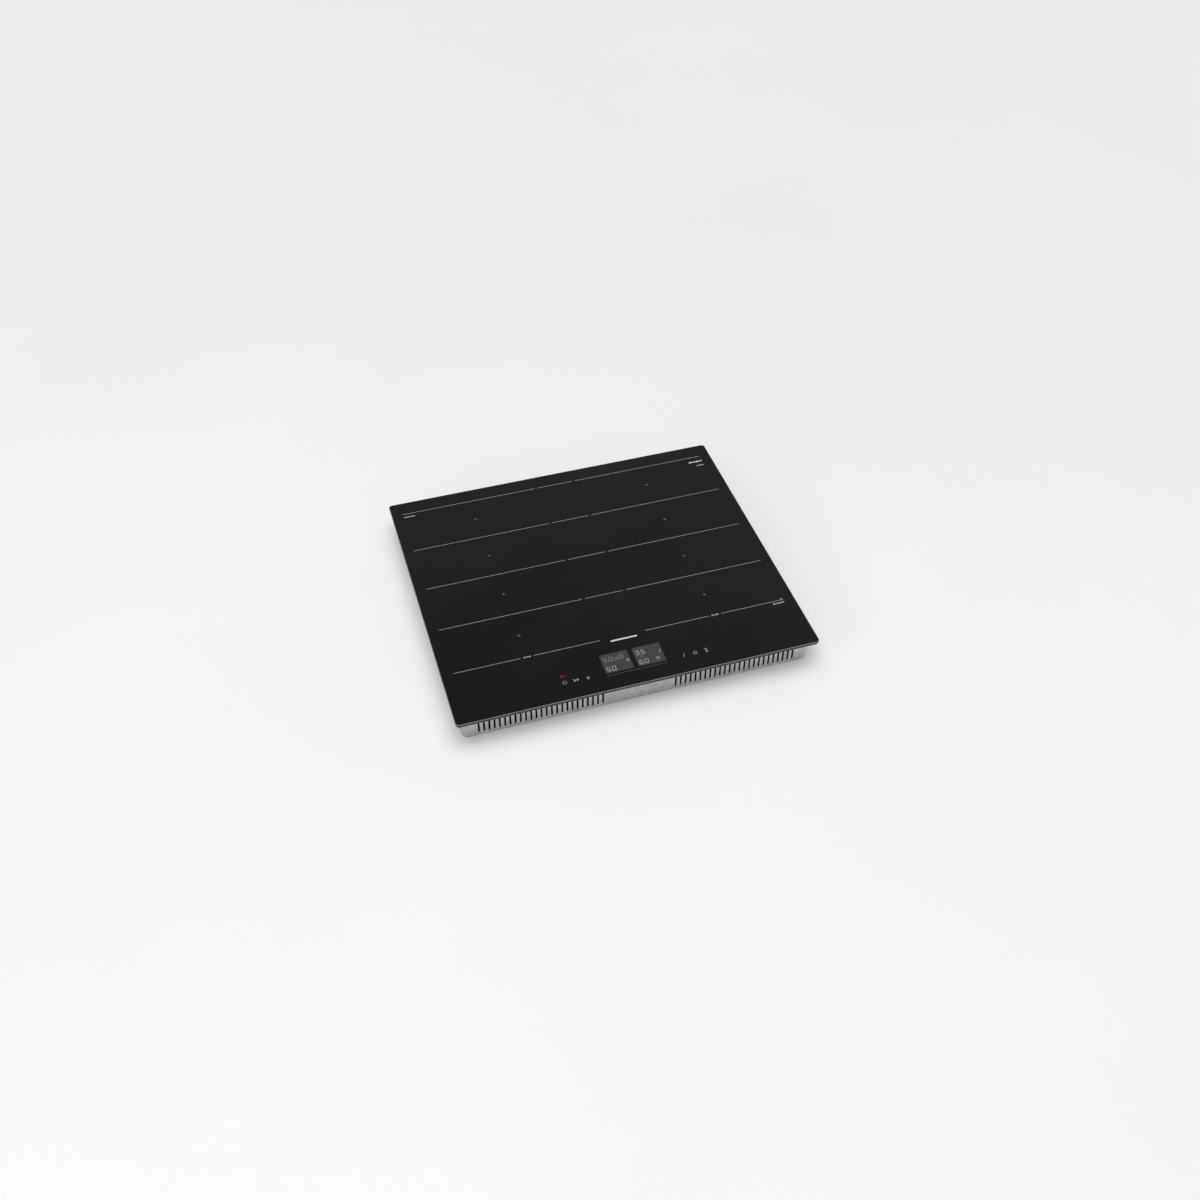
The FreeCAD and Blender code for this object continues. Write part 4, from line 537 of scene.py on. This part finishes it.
def digit(sign, left, low):
    """One digit of up to seven strokes, leaning a little."""
    middle, right, high = low + DIGIT_HEIGHT / 2, left + DIGIT_WIDTH, low + DIGIT_HEIGHT
    ends = {
        "a": (left, high, right, high), "g": (left, middle, right, middle), "d": (left, low, right, low),
        "f": (left, middle, left, high), "b": (right, middle, right, high),
        "e": (left, low, left, middle), "c": (right, low, right, middle),
    }
    outlines = []
    for segment in SEGMENTS[sign]:
        x0, y0, x1, y1 = ends[segment]
        lean0, lean1 = DIGIT_LEAN * (y0 - low), DIGIT_LEAN * (y1 - low)
        outlines.append(strip(x0 + lean0, y0, x1 + lean1, y1, DIGIT_STROKE))
    return outlines


def reading(first, second, left, low):
    """Two digits with a point between them."""
    (point_left, point_right), (point_low, point_high) = POINT_SIDES, POINT_ENDS
    point = bar(left + point_left, low + point_low, left + point_right, low + point_high, POINT_CORNER)
    return digit(first, left, low) + [point] + digit(second, left + SECOND_DIGIT, low)


READINGS = {
    "left": {"upper": ("90", dim_glow), "lower": ("50", clear_glow)},
    "right": {"upper": ("35", clear_glow), "lower": ("60", clear_glow)},
}
READING_INSET, UPPER_DROP, LOWER_RISE, PANEL_CORNER = 3.4, 15.6, 3.6, 0.8
panels = []
for side, rows in READINGS.items():
    low, high = corners("display_" + side)
    panels.append(bar(low[0], low[1], high[0], high[1], PANEL_CORNER))
    bases = {"upper": high[1] - UPPER_DROP, "lower": low[1] + LOWER_RISE}
    for row, (digits, glow) in rows.items():
        decal(f"digits_{side}_{row}", reading(*digits, low[0] + READING_INSET, bases[row]), glow, INK)
decal("display_panels", panels, panel_glow)

left_low, left_high = corners("display_left")
right_low, right_high = corners("display_right")


def gauge(left, low):
    """Five bars side by side, each taller than the last."""
    width, spacing, first_height, growth = 1.0, 3.2, 5.0, 1.6
    starts = [(left + spacing * step, first_height + growth * step) for step in range(5)]
    return [bar(x, low, x + width, low + height, 0.3) for x, height in starts]


def heat_sign(x, y):
    """Three rising strokes over a plate."""
    plate = bar(x - 2.0, y - 2.6, x + 2.0, y - 1.6, 0.4)
    feet = (x - 1.5, x, x + 1.5)
    return [plate] + [strip(foot, y - 0.8, foot + 0.5, y + 2.8, 0.8) for foot in feet]


def timer_sign(x, y):
    """A ring with a hand that points up."""
    return arc(x, y, 2.7, 1.0) + [bar(x - 0.6, y - 0.6, x + 0.6, y + 2.8, 0.4)]


def display_line(left, right, y):
    """A line with a small peak in the middle, which points at the gap between the displays."""
    half_width, peak_foot, peak = 0.45, 1.6, 2.2
    low, high = y - half_width, y + half_width
    peak_outline = [(-peak_foot, low), (peak_foot, low), (0.0, y + peak)]
    return [bar(left, low, -peak_foot, high), bar(peak_foot, low, right, high), peak_outline]


small_ring = arc(right_low[0] + 11.0, right_low[1] + 18.2, 1.7, 0.7)
decal("display_gauge", gauge(left_low[0] + 21.0, left_high[1] - 16.0) + small_ring, dim_glow, INK)
decal("display_line", display_line(left_low[0], right_high[0], left_low[1] - 4.6), faint_glow)

signs = heat_sign(left_high[0] - 4.4, left_low[1] + 18.0)
signs.append(strip(right_high[0] - 4.8, right_low[1] + 17.4, right_high[0] - 3.0, right_low[1] + 24.4, 1.0))
signs += timer_sign(right_high[0] - 10.8, right_low[1] + 8.2)
decal("display_signs", signs, soft_glow, INK)


def power_sign(x, y):
    """A ring open at the top, with a stroke in the opening."""
    return arc(x, y, 3.1, 0.8, 125, 415) + [strip(x, y + 0.6, x, y + 4.0, 0.8)]


def double_sign(x, y):
    """Two arrowheads that point to the right."""
    outlines = []
    for offset in (-2.6, 2.2):
        foot, tip = x + offset - 1.4, x + offset + 1.2
        outlines += [strip(foot, y - 2.0, tip, y, 0.85), strip(tip, y, foot, y + 2.0, 0.85)]
    return outlines


def lock_sign(x, y):
    """A padlock."""
    return [bar(x - 2.1, y - 3.6, x + 2.1, y + 0.4, 0.5)] + arc(x, y + 0.6, 1.5, 0.7, 0, 180)


def keep_warm_sign(x, y):
    """An arrow that points down from a bar."""
    shaft = strip(x, y - 3.4, x, y + 3.6, 1.0)
    heads = [strip(x - 2.2, y - 1.2, x, y - 3.6, 1.0), strip(x, y - 3.6, x + 2.2, y - 1.2, 1.0)]
    return [shaft, *heads, bar(x - 2.6, y + 2.6, x + 2.6, y + 4.0, 0.5)]


def clock_sign(x, y):
    """A ring with two hands."""
    return arc(x, y, 2.9, 0.8) + [strip(x, y, x, y + 1.8, 0.6), strip(x, y, x + 1.3, y, 0.6)]


# Three keys on each side, in one row: near, half and far from the middle.
FAR_KEY_INSET, NEAR_KEY_OUTSET = 4.6, 50.2
key_y = middle_of("touch_springs")[1]
far = corners("touch_springs")[1][0] - FAR_KEY_INSET
near = middle_of("display_right")[0] + NEAR_KEY_OUTSET
half = (near + far) / 2
decal("double_sign", double_sign(-half, key_y), bright_glow)
decal("lock_sign", lock_sign(-near, key_y), dim_glow)
stroke = strip(near - 0.7, key_y - 3.2, near + 1.1, key_y + 3.4, 0.9)
keys = power_sign(-far, key_y) + [stroke] + keep_warm_sign(far, key_y) + clock_sign(half, key_y)
decal("key_signs", keys, soft_glow)

lamp_left = corners("lamp_guides")[0][0]
lamp_y = middle_of("lamp_guides")[1]
# The lamp's outline, from the left end and the middle row of its light guides.
FLAG = ((0.6, -3.2), (8.8, -2.6), (9.8, 0.0), (1.4, 1.6))
decal("key_lamp", [[(lamp_left + x, lamp_y + y) for x, y in FLAG]], red_glow)

# ------------------------ stage, light and camera


def make_floor():
    """A pale floor at the tray's underside, brighter with distance, so that its horizon hardly shows."""
    mesh = bpy.data.meshes.new("floor")
    reach = 400.0
    square = [(-reach, -reach, 0), (reach, -reach, 0), (reach, reach, 0), (-reach, reach, 0)]
    mesh.from_pydata(square, [], [(0, 1, 2, 3)])
    floor = bpy.data.objects.new("floor", mesh)
    shade = Shade("floor_paint", (0.80, 0.80, 0.795), 0.6)
    distance = shade.node("VectorMath", operation="LENGTH")
    shade.link(shade.coords.outputs["Object"], distance.inputs[0])
    near_edge, far_edge = 1.2, 5.0
    away = shade.remap(distance.outputs["Value"], 0.0, 1.0, near_edge, far_edge)
    paint = shade.ramp(shade.noise(1.5, 3.0), (0.3, (0.79, 0.79, 0.785)), (0.7, (0.81, 0.81, 0.805)))
    shade.colour(shade.mix(away, paint, (0.97, 0.97, 0.965)))
    mesh.materials.append(shade.material)
    scene.collection.objects.link(floor)


def make_light(name, place, side, power):
    """A square lamp that points at the middle of the object's underside."""
    light = bpy.data.lights.new(name, "AREA")
    light.shape = "SQUARE"
    light.size = side
    light.energy = power
    holder = bpy.data.objects.new(name, light)
    holder.location = place
    holder.rotation_euler = (-Vector(place)).to_track_quat("-Z", "Y").to_euler()
    scene.collection.objects.link(holder)


def make_world():
    """A studio sky: pale at the horizon, dark where the glass mirrors it, and bright overhead."""
    world = bpy.data.worlds.new("studio")
    world.use_nodes = True
    tree = world.node_tree
    background = tree.nodes["Background"]
    coords = tree.nodes.new("ShaderNodeTexCoord")
    split = tree.nodes.new("ShaderNodeSeparateXYZ")
    ramp = tree.nodes.new("ShaderNodeValToRGB")
    # Each stop is a height, from 0 at the horizon to 1 overhead, and how bright the sky is there.
    stops = ((0.0, 0.79), (0.24, 0.78), (0.52, 0.27), (0.80, 0.09), (0.86, 1.85))
    while len(ramp.color_ramp.elements) < len(stops):
        ramp.color_ramp.elements.new(0.5)
    for element, (place, level) in zip(ramp.color_ramp.elements, stops):
        element.position = place
        element.color = (level, level, level * 1.01, 1.0)
    tree.links.new(coords.outputs["Generated"], split.inputs["Vector"])
    tree.links.new(split.outputs["Z"], ramp.inputs["Fac"])
    tree.links.new(ramp.outputs["Color"], background.inputs["Color"])
    background.inputs["Strength"].default_value = 1.0
    scene.world = world


def make_camera():
    """A view down on the glass from the front left."""
    lens = bpy.data.cameras.new("camera")
    lens.lens = 40.07
    lens.sensor_width = 36.0
    above_glass = 1.4796
    camera = bpy.data.objects.new("camera", lens)
    camera.location = (-0.4585, -1.5085, above_glass + TOP)
    target = Vector((-0.0099, -0.0694, TOP))
    camera.rotation_euler = (target - camera.location).to_track_quat("-Z", "Y").to_euler()
    scene.collection.objects.link(camera)
    scene.camera = camera


make_floor()
make_world()
make_light("overhead", (-0.6, -1.2, 5.0), 4.0, 90.0)
make_light("side", (-4.5, -2.5, 2.6), 2.5, 50.0)
make_camera()
scene.view_settings.view_transform = "Standard"
